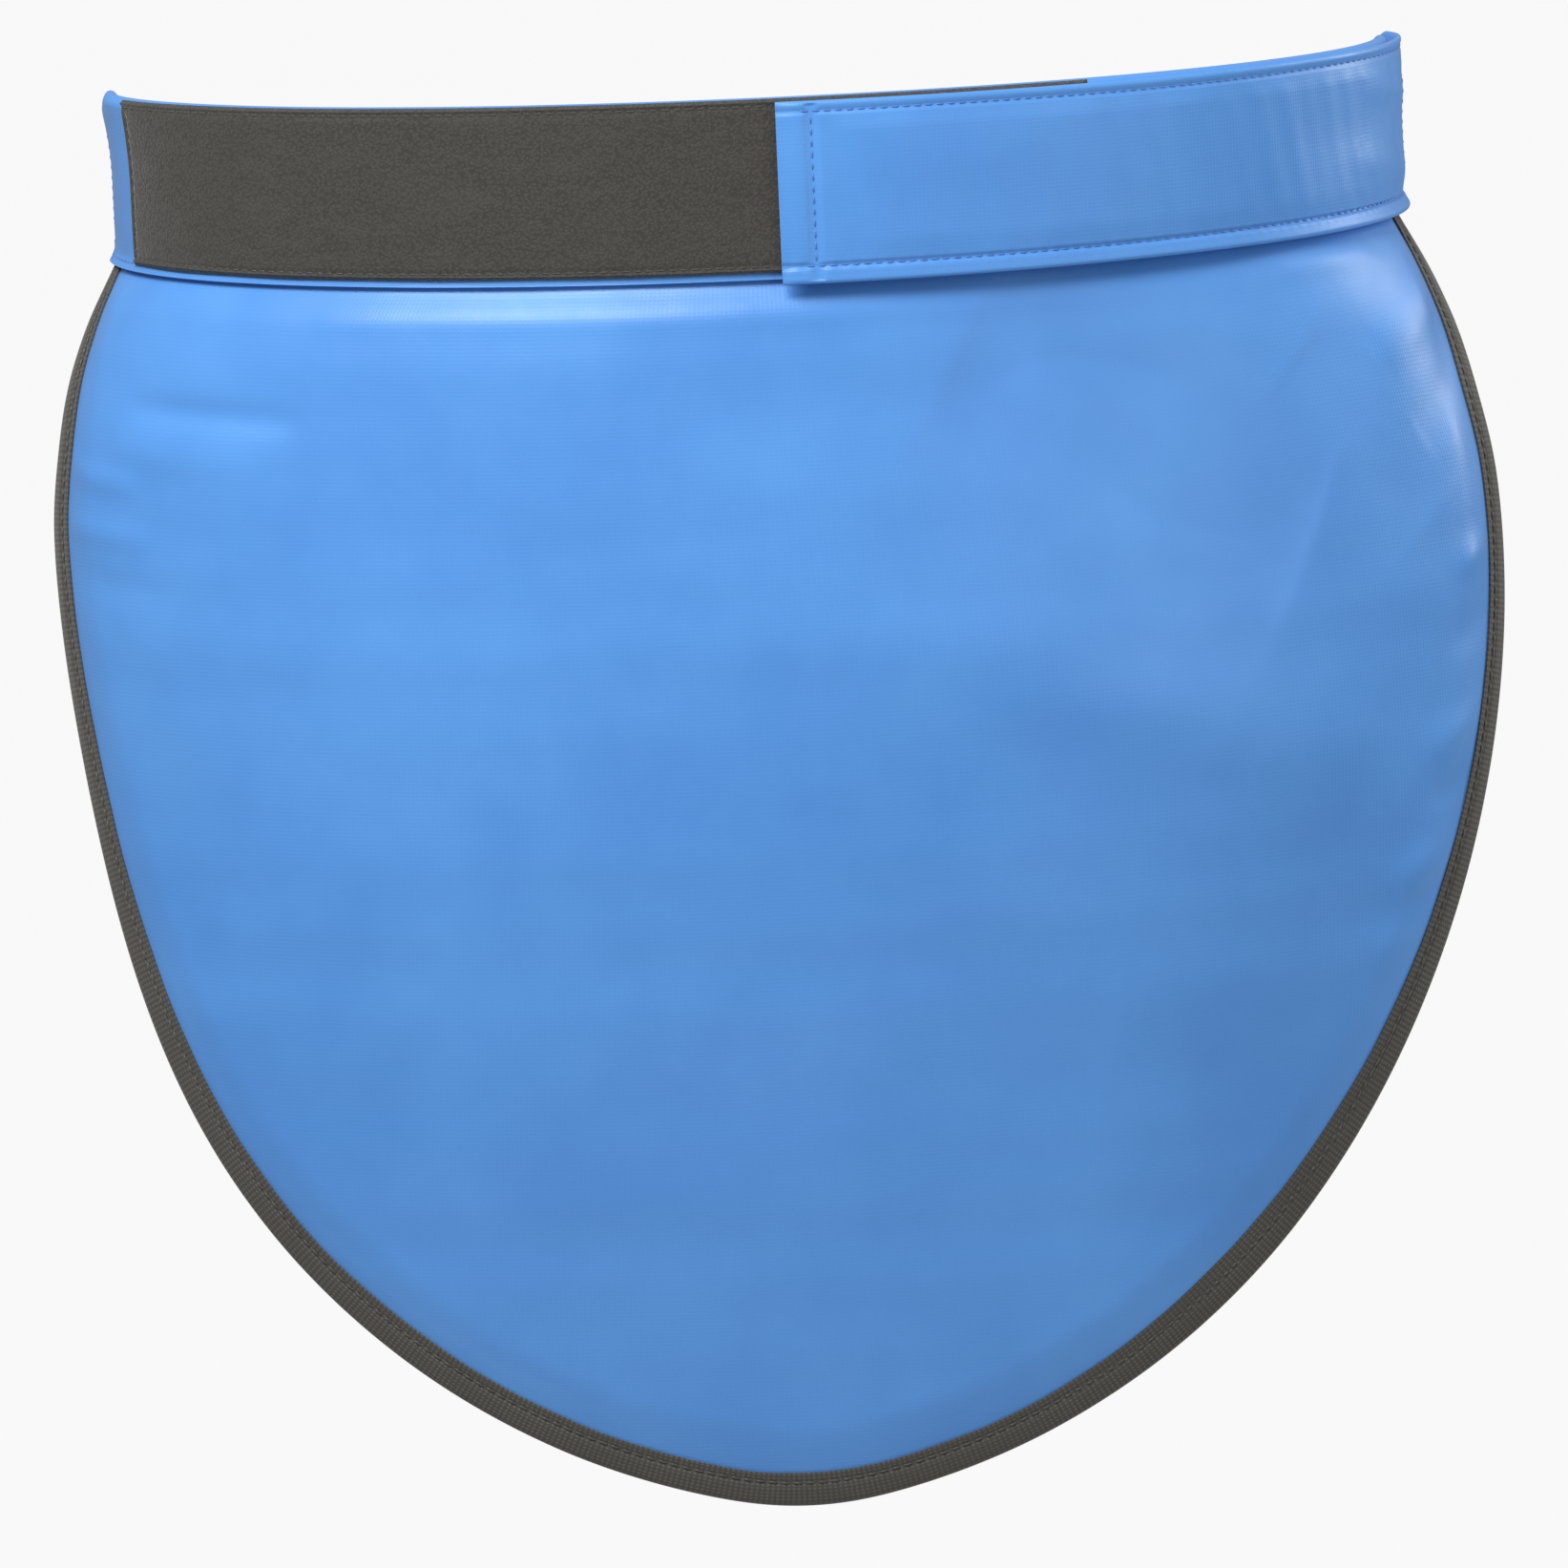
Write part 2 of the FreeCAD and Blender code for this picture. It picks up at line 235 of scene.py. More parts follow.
def moved_inward(edge, by):
    """The same line moved over the fabric, towards the middle: by one distance, or one a point."""
    tangent = np.gradient(edge, axis=0)
    wide, tall = per_degree(edge[:, 0], edge[:, 1]), per_height(edge[:, 0], edge[:, 1])
    run, climb = tangent[:, 0] * wide, tangent[:, 1] * tall
    length = np.hypot(run, climb)
    return np.stack([edge[:, 0] + by * climb / length / wide, edge[:, 1] - by * run / length / tall], -1)


EDGE = panel_edge(900)[0]
EDGE_XYZ = form(EDGE[:, 0], EDGE[:, 1])


def from_edge(angle, height):
    """Distance in mm from points on the form to the panel's edge."""
    flat = form(angle, height).reshape(-1, 3)
    best = np.full(len(flat), 1e9)
    for start in range(0, len(EDGE_XYZ), 60):
        part = EDGE_XYZ[start : start + 60]
        gap = np.linalg.norm(flat[:, None] - part[None], axis=-1).min(1)
        best = np.minimum(best, gap)
    return best.reshape(np.shape(angle))


# -------------------------------- meshes
def make_mesh(name, points, faces, uvs=None, sharp=50.0):
    mesh = bpy.data.meshes.new(name)
    mesh.from_pydata(np.asarray(points, float).reshape(-1, 3).tolist(), [], faces)
    mesh.validate()
    if uvs is not None:
        layer = mesh.uv_layers.new(name="cloth")
        loops = np.zeros(len(mesh.loops), int)
        mesh.loops.foreach_get("vertex_index", loops)
        layer.data.foreach_set("uv", np.asarray(uvs, float).reshape(-1, 2)[loops].ravel())
    mesh.polygons.foreach_set("use_smooth", [True] * len(mesh.polygons))
    mesh.set_sharp_from_angle(angle=math.radians(sharp))
    obj = bpy.data.objects.new(name, mesh)
    bpy.context.scene.collection.objects.link(obj)
    return obj


def grid_faces(rows, columns, start=0, flip=False, closed=False):
    faces = []
    for i in range(rows - 1):
        for j in range(columns if closed else columns - 1):
            k = (j + 1) % columns
            f = (start + i * columns + j, start + i * columns + k, start + (i + 1) * columns + k,
                 start + (i + 1) * columns + j)  # fmt: skip
            faces.append(f[::-1] if flip else f)
    return faces


def skin(name, outer, inner, uvs):
    """A thin closed sheet between two grids of points."""
    rows, columns = outer.shape[:2]
    count = rows * columns
    faces = grid_faces(rows, columns) + grid_faces(rows, columns, count, flip=True)
    ring = [j for j in range(columns)] + [i * columns + columns - 1 for i in range(1, rows)]
    ring += [(rows - 1) * columns + j for j in range(columns - 2, -1, -1)]
    ring += [i * columns for i in range(rows - 2, 0, -1)]
    for a, b in zip(ring, ring[1:] + ring[:1]):
        faces.append((b, a, a + count, b + count))
    return make_mesh(name, np.stack([outer, inner]), faces, np.stack([uvs, uvs]))


def tube(name, sections, uvs, inner=None):
    """A closed skin round a row of closed sections. With inner sections it is a hollow sleeve."""
    rows, columns = sections.shape[:2]
    count = rows * columns
    faces = grid_faces(rows, columns, closed=True)
    points = [sections.reshape(-1, 3)]
    uv = [uvs.reshape(-1, 2)]
    last = (rows - 1) * columns
    if inner is None:
        faces += [tuple(range(columns))[::-1], tuple(last + j for j in range(columns))]
    else:
        faces += grid_faces(rows, columns, count, flip=True, closed=True)
        points.append(inner.reshape(-1, 3))
        uv.append(uvs.reshape(-1, 2))
        for j in range(columns):
            k = (j + 1) % columns
            faces.append((k, j, j + count, k + count))
            faces.append((last + j, last + k, last + k + count, last + j + count))
    return make_mesh(name, np.vstack(points), faces, np.vstack(uv))


def flat_uv(angle, height):
    """Cloth coordinates in metres: round the form, and up."""
    angle, height = np.broadcast_arrays(np.asarray(angle, float), np.asarray(height, float))
    return np.stack([np.radians(angle) * CLOTH_RADIUS, height * MM], -1)


# -------------------------------- sewing thread
STITCH_SIDES = 6


def stitch_row(name, centres, along, outward, length=2.6, radius=0.26, arch=0.12):
    """One mesh of separate stitches: each is a short arched thread whose ends dive into the cloth."""
    end, shoulder = (0.45, -0.42), (0.9, -0.05)
    profile = [(-0.5, *end), (-0.36, *shoulder), (0.0, 1.0, arch), (0.36, *shoulder), (0.5, *end)]
    points, faces = [], []
    for centre, t, n in zip(centres, along, outward):
        t = t / np.linalg.norm(t)
        n = n / np.linalg.norm(n)
        side = np.cross(t, n)
        base = len(points)
        for at, fat, lift in profile:
            middle = centre + (t * at * length + n * lift) * MM
            for k in range(STITCH_SIDES):
                a = 2 * math.pi * k / STITCH_SIDES
                ring = side * math.cos(a) + n * math.sin(a)
                points.append(middle + ring * radius * fat * MM)
        for r in range(len(profile) - 1):
            for k in range(STITCH_SIDES):
                m = (k + 1) % STITCH_SIDES
                row = base + r * STITCH_SIDES
                faces.append((row + k, row + k + STITCH_SIDES, row + m + STITCH_SIDES, row + m))
        last = base + (len(profile) - 1) * STITCH_SIDES
        faces.append(tuple(base + k for k in range(STITCH_SIDES)))
        faces.append(tuple(last + k for k in reversed(range(STITCH_SIDES))))
    return make_mesh(name, np.array(points), faces)


def on_line(angles, heights, offsets, pitch=3.3):
    """Stitch centres along a line on the form, with directions."""
    dense = place(angles, heights, offsets)
    step = np.linalg.norm(np.diff(dense, axis=0), axis=1)
    along = np.concatenate([[0], np.cumsum(step)])
    count = max(2, int(along[-1] / (pitch * MM)))
    at = (np.arange(count) + 0.5) * along[-1] / count
    lines = (np.broadcast_to(line, np.shape(dense)[:1]) for line in (angles, heights, offsets))
    a, h, o = (np.interp(at, along, line) for line in lines)
    centre = place(a, h, o)
    half = 0.4 * pitch * MM
    ahead, behind = at + half, at - half
    pick = lambda s: np.stack([np.interp(s, along, dense[:, i]) for i in range(3)], -1)
    return centre, pick(ahead) - pick(behind), normals(a, h)


def join(name, parts):
    """Several meshes as one piece."""
    bpy.ops.object.select_all(action="DESELECT")
    for obj in parts:
        obj.select_set(True)
    bpy.context.view_layer.objects.active = parts[0]
    bpy.ops.object.join()
    parts[0].name = name
    parts[0].data.name = name
    return parts[0]


# -------------------------------- materials
class Nodes:
    """A new material and short ways to add nodes to it."""

    def __init__(self, name):
        self.material = bpy.data.materials.new(name)
        self.material.use_nodes = True
        self.tree = self.material.node_tree
        self.shader = self.tree.nodes["Principled BSDF"]

    def add(self, kind, settings=(), **inputs):
        node = self.tree.nodes.new(kind)
        for key, value in dict(settings).items():
            setattr(node, key, value)
        for key, value in inputs.items():
            self.put(node, key.replace("_", " "), value)
        return node

    def put(self, node, socket, value):
        target = node.inputs[socket]
        if isinstance(value, bpy.types.NodeSocket):
            self.tree.links.new(value, target)
        else:
            target.default_value = value

    def math(self, operation, a, b=0.0, c=0.0):
        node = self.add("ShaderNodeMath", {"operation": operation})
        for i, value in enumerate((a, b, c)):
            self.put(node, i, value)
        return node.outputs[0]

    def mix(self, factor, a, b):
        node = self.add("ShaderNodeMix", {"data_type": "RGBA"})
        for i, value in ((0, factor), (6, a), (7, b)):
            self.put(node, i, value)
        return node.outputs[2]

    def scaled(self, scale, source="UV"):
        where = self.add("ShaderNodeTexCoord").outputs[source]
        node = self.add("ShaderNodeMapping")
        self.put(node, "Vector", where)
        self.put(node, "Scale", scale)
        return node.outputs[0]

    def noise(self, where, scale, detail=3.0, rough=0.5):
        node = self.add("ShaderNodeTexNoise", Scale=scale, Detail=detail, Roughness=rough)
        self.put(node, "Vector", where)
        return node.outputs["Fac"]

    def ramp(self, value, low, high, to_low=0.0, to_high=1.0):
        node = self.add("ShaderNodeMapRange")
        for key, v in (("Value", value), ("From Min", low), ("From Max", high), ("To Min", to_low),
                       ("To Max", to_high)):  # fmt: skip
            self.put(node, key, v)
        return node.outputs[0]

    def ribs(self, where, axis, period):
        """0 to 1 ridges across an axis of the cloth coordinates, in metres."""
        split = self.add("ShaderNodeSeparateXYZ")
        self.put(split, 0, where)
        turned = self.math("MULTIPLY", split.outputs[axis], 2 * math.pi / period)
        return self.math("MULTIPLY_ADD", self.math("SINE", turned), 0.5, 0.5)

    def bumps(self, *layers):
        """Bump nodes in a row: (height, strength, distance)."""
        normal = None
        for height, strength, distance in layers:
            node = self.add("ShaderNodeBump", Strength=strength, Distance=distance)
            self.put(node, "Height", height)
            if normal is not None:
                self.put(node, "Normal", normal)
            normal = node.outputs[0]
        self.put(self.shader, "Normal", normal)

    def set(self, **values):
        for key, value in values.items():
            self.put(self.shader, key.replace("_", " "), value)
        return self.material


def rgb(r, g, b):
    """A colour as written on screen, 0 to 255, as the shader's linear one."""
    return (*(((c / 255 + 0.055) / 1.055) ** 2.4 if c > 10 else c / 3294.6 for c in (r, g, b)), 1.0)


def coated_fabric(name, light, dark, weave=0.0011):
    """Coated nylon: a fine plain weave under a satin coat, with faint cloudiness and handling marks."""
    m = Nodes(name)
    cloth = m.scaled((1, 1, 1))
    space = m.scaled((1, 1, 1), "Object")
    warp, weft = m.ribs(cloth, 0, weave), m.ribs(cloth, 1, weave)
    over = m.math("MULTIPLY", warp, weft)
    cloud = m.noise(space, 14.0, 3.0, 0.55)
    marks = m.noise(space, 70.0, 4.0, 0.6)
    grain = m.noise(space, 2600.0, 2.0, 0.6)
    colour = m.mix(m.ramp(cloud, 0.35, 0.65), dark, light)
    colour = m.mix(m.ramp(over, 0.0, 1.0, 0.0, 0.10), colour, dark)
    rough = m.ramp(marks, 0.3, 0.7, 0.36, 0.47)
    m.bumps((cloud, 0.10, 0.004), (marks, 0.12, 0.0008), (over, 0.22, 0.00012), (grain, 0.12, 0.00006))
    return m.set(Base_Color=colour, Roughness=rough, Specular_IOR_Level=0.42, Coat_Weight=0.10,
                 Coat_Roughness=0.28, Sheen_Weight=0.08, Sheen_Roughness=0.5)  # fmt: skip


def braid(name, light, dark, period=0.0016):
    """Woven tape: ribs across the tape with a herringbone of yarns."""
    m = Nodes(name)
    cloth = m.scaled((1, 1, 1))
    across, down = m.ribs(cloth, 0, period), m.ribs(cloth, 1, period * 0.7)
    yarn = m.math("MULTIPLY", across, down)
    fuzz = m.noise(m.scaled((1, 1, 1), "Object"), 1500.0, 3.0, 0.7)
    wear = m.noise(m.scaled((1, 1, 1), "Object"), 35.0, 3.0, 0.6)
    colour = m.mix(m.math("MULTIPLY", yarn, m.ramp(wear, 0.3, 0.7, 0.55, 1.0)), dark, light)
    m.bumps((across, 0.35, 0.00018), (yarn, 0.4, 0.0002), (fuzz, 0.3, 0.0001))
    return m.set(Base_Color=colour, Roughness=0.72, Specular_IOR_Level=0.3, Sheen_Weight=0.25,
                 Sheen_Roughness=0.45)  # fmt: skip


def loop_pile(name, light, dark):
    """Brushed loops: soft tufts, a slight nap, lint and paler rubbed patches."""
    m = Nodes(name)
    space = m.scaled((1, 1, 1), "Object")
    tufts = m.add("ShaderNodeTexVoronoi", {"feature": "F1"}, Scale=1150.0, Randomness=1.0)
    m.put(tufts, "Vector", space)
    curl = m.noise(space, 1900.0, 4.0, 0.7)
    nap = m.noise(m.scaled((1, 1, 3.0), "Object"), 60.0, 3.0, 0.6)
    tuft = m.ramp(tufts.outputs["Distance"], 0.0, 0.75, 1.0, 0.0)
    height = m.math("MULTIPLY_ADD", curl, 0.6, tuft)
    colour = m.mix(m.ramp(height, 0.3, 1.3, 0.25, 1.0), dark, light)
    colour = m.mix(m.ramp(nap, 0.45, 0.75, 0.0, 0.35), colour, light)
    m.bumps((nap, 0.25, 0.0008), (height, 0.5, 0.0003))
    return m.set(Base_Color=colour, Roughness=0.9, Specular_IOR_Level=0.2, Sheen_Weight=0.35,
                 Sheen_Roughness=0.4)  # fmt: skip


def elastic(name, light, dark):
    """Woven elastic: lengthwise rubber ribs crossed by fine picks of yarn."""
    m = Nodes(name)
    cloth = m.scaled((1, 1, 1))
    ribs, picks = m.ribs(cloth, 1, 0.002), m.ribs(cloth, 0, 0.0009)
    fuzz = m.noise(m.scaled((1, 1, 1), "Object"), 1300.0, 3.0, 0.7)
    height = m.math("MULTIPLY_ADD", picks, 0.5, ribs)
    colour = m.mix(m.ramp(height, 0.0, 1.5), dark, light)
    m.bumps((ribs, 0.4, 0.0003), (picks, 0.4, 0.00018), (fuzz, 0.25, 0.0001))
    return m.set(Base_Color=colour, Roughness=0.68, Specular_IOR_Level=0.3, Sheen_Weight=0.2,
                 Sheen_Roughness=0.45)  # fmt: skip


def thread(name, light, dark):
    """Twisted polyester sewing thread."""
    m = Nodes(name)
    twist = m.noise(m.scaled((1, 1, 1), "Object"), 2400.0, 2.0, 0.5)
    m.bumps((twist, 0.5, 0.0001))
    return m.set(Base_Color=m.mix(twist, dark, light), Roughness=0.5, Sheen_Weight=0.2)


def vinyl(name):
    """Filled vinyl sheet, matte, with a pressed grain."""
    m = Nodes(name)
    space = m.scaled((1, 1, 1), "Object")
    grain, patch = m.noise(space, 900.0, 3.0, 0.6), m.noise(space, 25.0, 2.0, 0.5)
    m.bumps((grain, 0.4, 0.0002))
    return m.set(Base_Color=m.mix(patch, rgb(86, 88, 90), rgb(104, 106, 108)), Roughness=0.7)


SHELL = coated_fabric("shell_fabric", rgb(94, 161, 237), rgb(86, 151, 228))
BRAID = braid("binding_braid", rgb(108, 106, 98), rgb(74, 72, 67))
PILE = loop_pile("loop_pile", rgb(84, 82, 77), rgb(58, 56, 53))
HOOKS = braid("hook_tape", rgb(84, 82, 78), rgb(48, 47, 45), 0.0012)
WEBBING = braid("webbing", rgb(214, 214, 208), rgb(150, 150, 146), 0.0022)
ELASTIC = elastic("woven_elastic", rgb(84, 83, 80), rgb(38, 38, 37))
BLUE_THREAD = thread("blue_thread", rgb(96, 152, 226), rgb(60, 108, 178))
DARK_THREAD = thread("dark_thread", rgb(96, 93, 88), rgb(50, 49, 46))
VINYL = vinyl("filled_vinyl")


def finish_piece(obj, material, body, nodes=()):
    """Dresses a piece, rides it on its body and lets it stand for its CAD nodes."""
    obj.data.materials.clear()
    obj.data.materials.append(material)
    if body is not None:
        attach(obj, body)
    if nodes:
        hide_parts(*nodes)
    return obj


# -------------------------------- the shield's two covers
COVER_INSET = 0.8
COVER_COLUMNS, COVER_ROWS = 230, 200
COVER_TOP = 21.0
CORNER_AT = 0.31  # share of the edge's length from each end to the corners of the grid


def pick(line, at):
    """Points at shares from 0 to 1 along a line of evenly spaced points."""
    known = np.linspace(0, 1, len(line))
    return np.stack([np.interp(at, known, line[:, i]) for i in (0, 1)], -1)


def panel_grid():
    """Angles and heights of a grid that fills the panel, square to its edge."""
    edge = moved_inward(EDGE, COVER_INSET)
    edge = edge[edge[:, 1] < COVER_TOP - 28]
    ends = np.array([[edge[0, 0], COVER_TOP]]), np.array([[edge[-1, 0], COVER_TOP]])
    edge = resample(np.vstack([ends[0], edge, ends[1]]), 2401)[0]
    corner = int(CORNER_AT * len(edge))
    right, bottom, left = edge[: corner + 1], edge[corner : len(edge) - corner], edge[-corner - 1 :][::-1]
    bottom = bottom[::-1]
    u, v = np.linspace(0, 1, COVER_COLUMNS), np.linspace(0, 1, COVER_ROWS)
    top = ends[1][0] + (ends[0][0] - ends[1][0]) * u[:, None]
    low = pick(bottom, u)
    lefts, rights = pick(left, v), pick(right, v)
    a, b = u[None, :, None], v[:, None, None]
    grid = (1 - b) * top[None] + b * low[None] + (1 - a) * lefts[:, None] + a * rights[:, None]
    corners = (1 - a) * (1 - b) * top[0] + a * (1 - b) * top[-1] + (1 - a) * b * low[0] + a * b * low[-1]
    grid = grid - corners
    return grid[..., 0], grid[..., 1]


MM_PER_DEGREE = 3.3  # about how far a degree goes along the form


def fold(angle, height, start, end, width, lift):
    """A soft ridge, or a furrow if lift is negative, along a line between two (angle, height) points."""
    p = np.stack(np.broadcast_arrays(angle * MM_PER_DEGREE, height), -1)
    a = np.array([start[0] * MM_PER_DEGREE, start[1]])
    b = np.array([end[0] * MM_PER_DEGREE, end[1]])
    d = b - a
    t = np.clip(((p - a) @ d) / (d @ d), 0, 1)
    gap = np.linalg.norm(p - a - t[..., None] * d, axis=-1)
    taper = 0.35 + 0.65 * (4 * t * (1 - t)) ** 0.5
    return lift * taper * np.exp(-((gap / width) ** 2))


# Where the shield's cloth is slack: (from, to, half width mm, lift mm), points as (angle, height).
FRONT_FOLDS = [
    ((74.0, -46.0), (58.0, -62.0), 7.0, 1.9), ((72.0, -66.0), (60.0, -86.0), 8.0, -1.3),
    ((76.0, -116.0), (62.0, -124.0), 5.0, 1.5), ((76.0, -134.0), (60.0, -146.0), 6.0, -1.0),
    ((74.0, -160.0), (56.0, -176.0), 6.5, 1.8), ((70.0, -184.0), (56.0, -190.0), 5.0, -1.2),
    ((68.0, -200.0), (52.0, -212.0), 6.5, 1.6), ((60.0, -228.0), (48.0, -232.0), 7.0, 0.7),
    ((-60.0, -62.0), (-40.0, -64.0), 4.0, -1.3), ((-62.0, -73.0), (-44.0, -76.0), 7.0, 1.0),
    ((-74.0, -80.0), (-58.0, -84.0), 3.5, 0.8), ((-75.0, -96.0), (-56.0, -99.0), 4.0, 0.8),
    ((-73.0, -110.0), (-52.0, -114.0), 5.0, -0.5), ((16.0, -50.0), (44.0, -110.0), 34.0, -3.4),
    ((48.0, -58.0), (58.0, -110.0), 20.0, -1.6), ((6.0, -128.0), (48.0, -176.0), 17.0, 1.7),
    ((-40.0, -52.0), (0.0, -50.0), 30.0, 1.4), ((-30.0, -226.0), (24.0, -250.0), 40.0, -1.4),
    ((50.0, -34.0), (66.0, -33.0), 4.0, 0.9), ((-40.0, -35.0), (40.0, -34.0), 5.0, 0.5),
]  # fmt: skip
FRONT_SLACK = 2.6
REAR_SLACK = 1.4


def front_relief(angle, height, gap):
    """How far the front cover stands off the core (mm): pinned at the binding and the waistband."""
    pinned = smooth(gap, 9.0, 26.0) * smooth(-height, 25.0, 38.0)
    near_edge = smooth(gap, 9.0, 15.0) * smooth(-height, 25.0, 32.0)
    shape = FRONT_SLACK + 0.35 * wobble(angle * 0.05 + height * 0.013, 3) + 0.3 * wobble(height * 0.05, 4)
    for start, end, width, lift in FRONT_FOLDS:
        shape = shape + fold(angle, height, start, end, width, lift)
    return np.maximum(0.0, pinned * shape * 0.8 + near_edge * shape * 0.2)


def rear_relief(angle, height, gap):
    """The rear cover sags a little off the core, with shallow upright ripples from the waistband."""
    pinned = smooth(gap, 9.0, 30.0) * smooth(-height, 26.0, 60.0)
    ripple = 0.5 + 0.5 * wobble(angle * 0.16 + height * 0.004, 11)
    return pinned * (REAR_SLACK * 0.5 + REAR_SLACK * ripple * smooth(-height, 40.0, 110.0))


def make_covers():
    angle, height = panel_grid()
    gap = from_edge(angle, height)
    uvs = flat_uv(angle, height)
    relief = front_relief(angle, height, gap)
    front = skin("front_cover_cloth", place(angle, height, FRONT_COVER[1] + relief),
                 place(angle, height, FRONT_COVER[0] + relief), uvs)  # fmt: skip
    relief = rear_relief(angle, height, gap)
    rear = skin("rear_cover_cloth", place(angle, height, REAR_COVER[1] - relief),
                place(angle, height, REAR_COVER[0] - relief), uvs)  # fmt: skip
    for obj, node in ((front, "front_cover"), (rear, "rear_cover")):
        finish_piece(obj, SHELL, "shield", [node])


# -------------------------------- the edge binding
BINDING_SECTIONS = 560
BINDING_TOP = -26.4
STITCH_IN = 7.8  # mm from the panel's edge to the binding's stitches
NOSE_START = 2.6  # mm from the edge to where the tape starts to round over it


def binding_leg(wide, share):
    """Distance in from the edge, and swell, at a share of the way from the fold to the tape's hem."""
    inward = NOSE_START + (wide - NOSE_START) * share
    return inward, 0.3 * bump(share, 0.42, 0.42) - 0.42 * bump(inward, STITCH_IN, 1.2)


def make_binding():
    edge = EDGE[EDGE[:, 1] < BINDING_TOP]
    edge, along = resample(edge, BINDING_SECTIONS)
    share = along / along[-1]
    wide = BINDING_WIDE + 0.25 * wobble(share * 40, 21) + 1.6 * bump(share, 0.33, 0.12) + 0.4
    rows = []
    steps = np.linspace(1.0, 0.0, 11)
    nose = np.linspace(0, math.pi, 9)[1:-1]
    front, rear = BINDING[1], BINDING[0]
    middle, radius = (front + rear) / 2, (front - rear) / 2
    for cut in (0.0, BINDING_THICK):
        ring = []
        for s in steps:
            inward, puff = binding_leg(wide, s)
            ring.append((inward, front - cut + puff))
        for a in nose:
            deep = NOSE_START - (NOSE_START - cut) * np.sin(a)
            ring.append((deep, middle + (radius - cut) * np.cos(a)))
        for s in steps[::-1]:
            inward, puff = binding_leg(wide, s)
            ring.append((inward, rear + cut - puff))
        rows.append(ring[::-1] if cut else ring)
    ring = rows[0] + rows[1]
    sections = np.stack([place(*moved_inward(edge, inward).T, offset) for inward, offset in ring], 1)
    lengths = np.linalg.norm(np.diff(sections, axis=1, append=sections[:, :1]), axis=-1)
    around = np.concatenate([np.zeros((len(sections), 1)), np.cumsum(lengths, 1)[:, :-1]], 1)
    uvs = np.stack([np.broadcast_to(along[:, None] * MM, around.shape), around], -1)
    tape = tube("edge_binding_tape", sections, uvs)
    finish_piece(tape, BRAID, "shield", ["edge_binding"])
    line = moved_inward(edge, STITCH_IN)[6:-6]
    rows = []
    for name, offset, way in (("front", front + 0.02, 1), ("rear", rear - 0.02, -1)):
        centre, along_it, out = on_line(line[:, 0], line[:, 1], offset + 0 * line[:, 0], 3.6)
        rows.append(stitch_row("binding_stitches_" + name, centre, along_it, out * way, 2.9, 0.3))
    stitches = join("edge_binding_stitches", rows)
    finish_piece(stitches, DARK_THREAD, "shield", ["edge_binding_thread"])


# -------------------------------- the waistband
CASING_STEP = 1.0
CORNER_FLARE = (3.4, 1.2)  # mm that the band's top corner leans out at the right and left hip
CROWN_DIP = 3.6
WEBBING_HALF = 23.4


def corner_lean(angle, height):
    """The band's top leans outward at the hips."""
    right, left = smooth(-angle, 50, 88), smooth(angle, 50, 88)
    up = np.clip(np.asarray(height, float) / BAND_HALF, 0, 1) ** 2
    return (CORNER_FLARE[0] * right + CORNER_FLARE[1] * left) * up


def crown_dip(angle):
    """How far the band's top edge drops towards the strap at its two ends."""
    return CROWN_DIP * smooth(np.abs(angle), 87, 95)


def casing_profile(cut):
    """The folded casing's section as (height, offset), from the front leg's hem to the rear leg's."""
    front, rear = CASING[1] - cut, CASING[0] + cut
    middle, radius = (front + rear) / 2, (front - rear) / 2
    crown = BAND_HALF - cut - radius
    legs = np.linspace(-BAND_HALF, crown, 22)
    turn = np.linspace(0, math.pi, 13)[1:-1]
    points = [(h, front) for h in legs]
    points += [(crown + radius * math.sin(a), middle + radius * math.cos(a)) for a in turn]
    points += [(h, rear) for h in legs[::-1]]
    return points


def make_waistband():
    outer, inner = casing_profile(0.0), casing_profile(CASING_THICK)[::-1]
    ring = np.array(outer + inner)
    angles = np.arange(-BAND_END, BAND_END + CASING_STEP / 2, CASING_STEP)
    a, h = np.meshgrid(angles, ring[:, 0], indexing="ij")
    dip = crown_dip(a) * smooth(h, 0, BAND_HALF)
    side = np.sign(ring[:, 1] - CASING_MIDDLE)[None]
    pucker = 0.16 * np.sin(a * 5.9) * bump(h, -22.5, 5.0) + 0.25 * wobble(a * 0.09, 31) * bump(h, 4.0, 24.0)
    groove = -0.35 * bump(h, -23.6, 1.6)
    offset = ring[:, 1][None] + side * (pucker + groove) + corner_lean(a, h)
    lengths = np.concatenate([[0], np.cumsum(np.hypot(*np.diff(ring, axis=0).T))])
    thin = 0.42 * smooth(np.abs(a), 78, 92) * smooth(h, 19, BAND_HALF)
    offset = CASING_MIDDLE + (offset - CASING_MIDDLE) * (1 - thin)
    uvs = np.stack([np.radians(a) * CLOTH_RADIUS, np.broadcast_to(lengths * MM, a.shape)], -1)
    casing = tube("waistband_casing_cloth", place(a, h - dip, offset), uvs)
    finish_piece(casing, SHELL, "shield", ["waistband_casing"])
    rows = []
    for name, base, way in (("front", CASING[1] - 0.3, 1), ("rear", CASING[0] + 0.3, -1)):
        line = np.linspace(-BAND_END + 1, BAND_END - 1, 400)
        centre, along, out = on_line(line, 0 * line - 23.6, base + 0 * line, 3.3)
        rows.append(stitch_row("waistband_stitches_" + name, centre, along, out * way))
    stitches = join("waistband_stitches", rows)
    finish_piece(stitches, BLUE_THREAD, "shield", ["waistband_thread"])


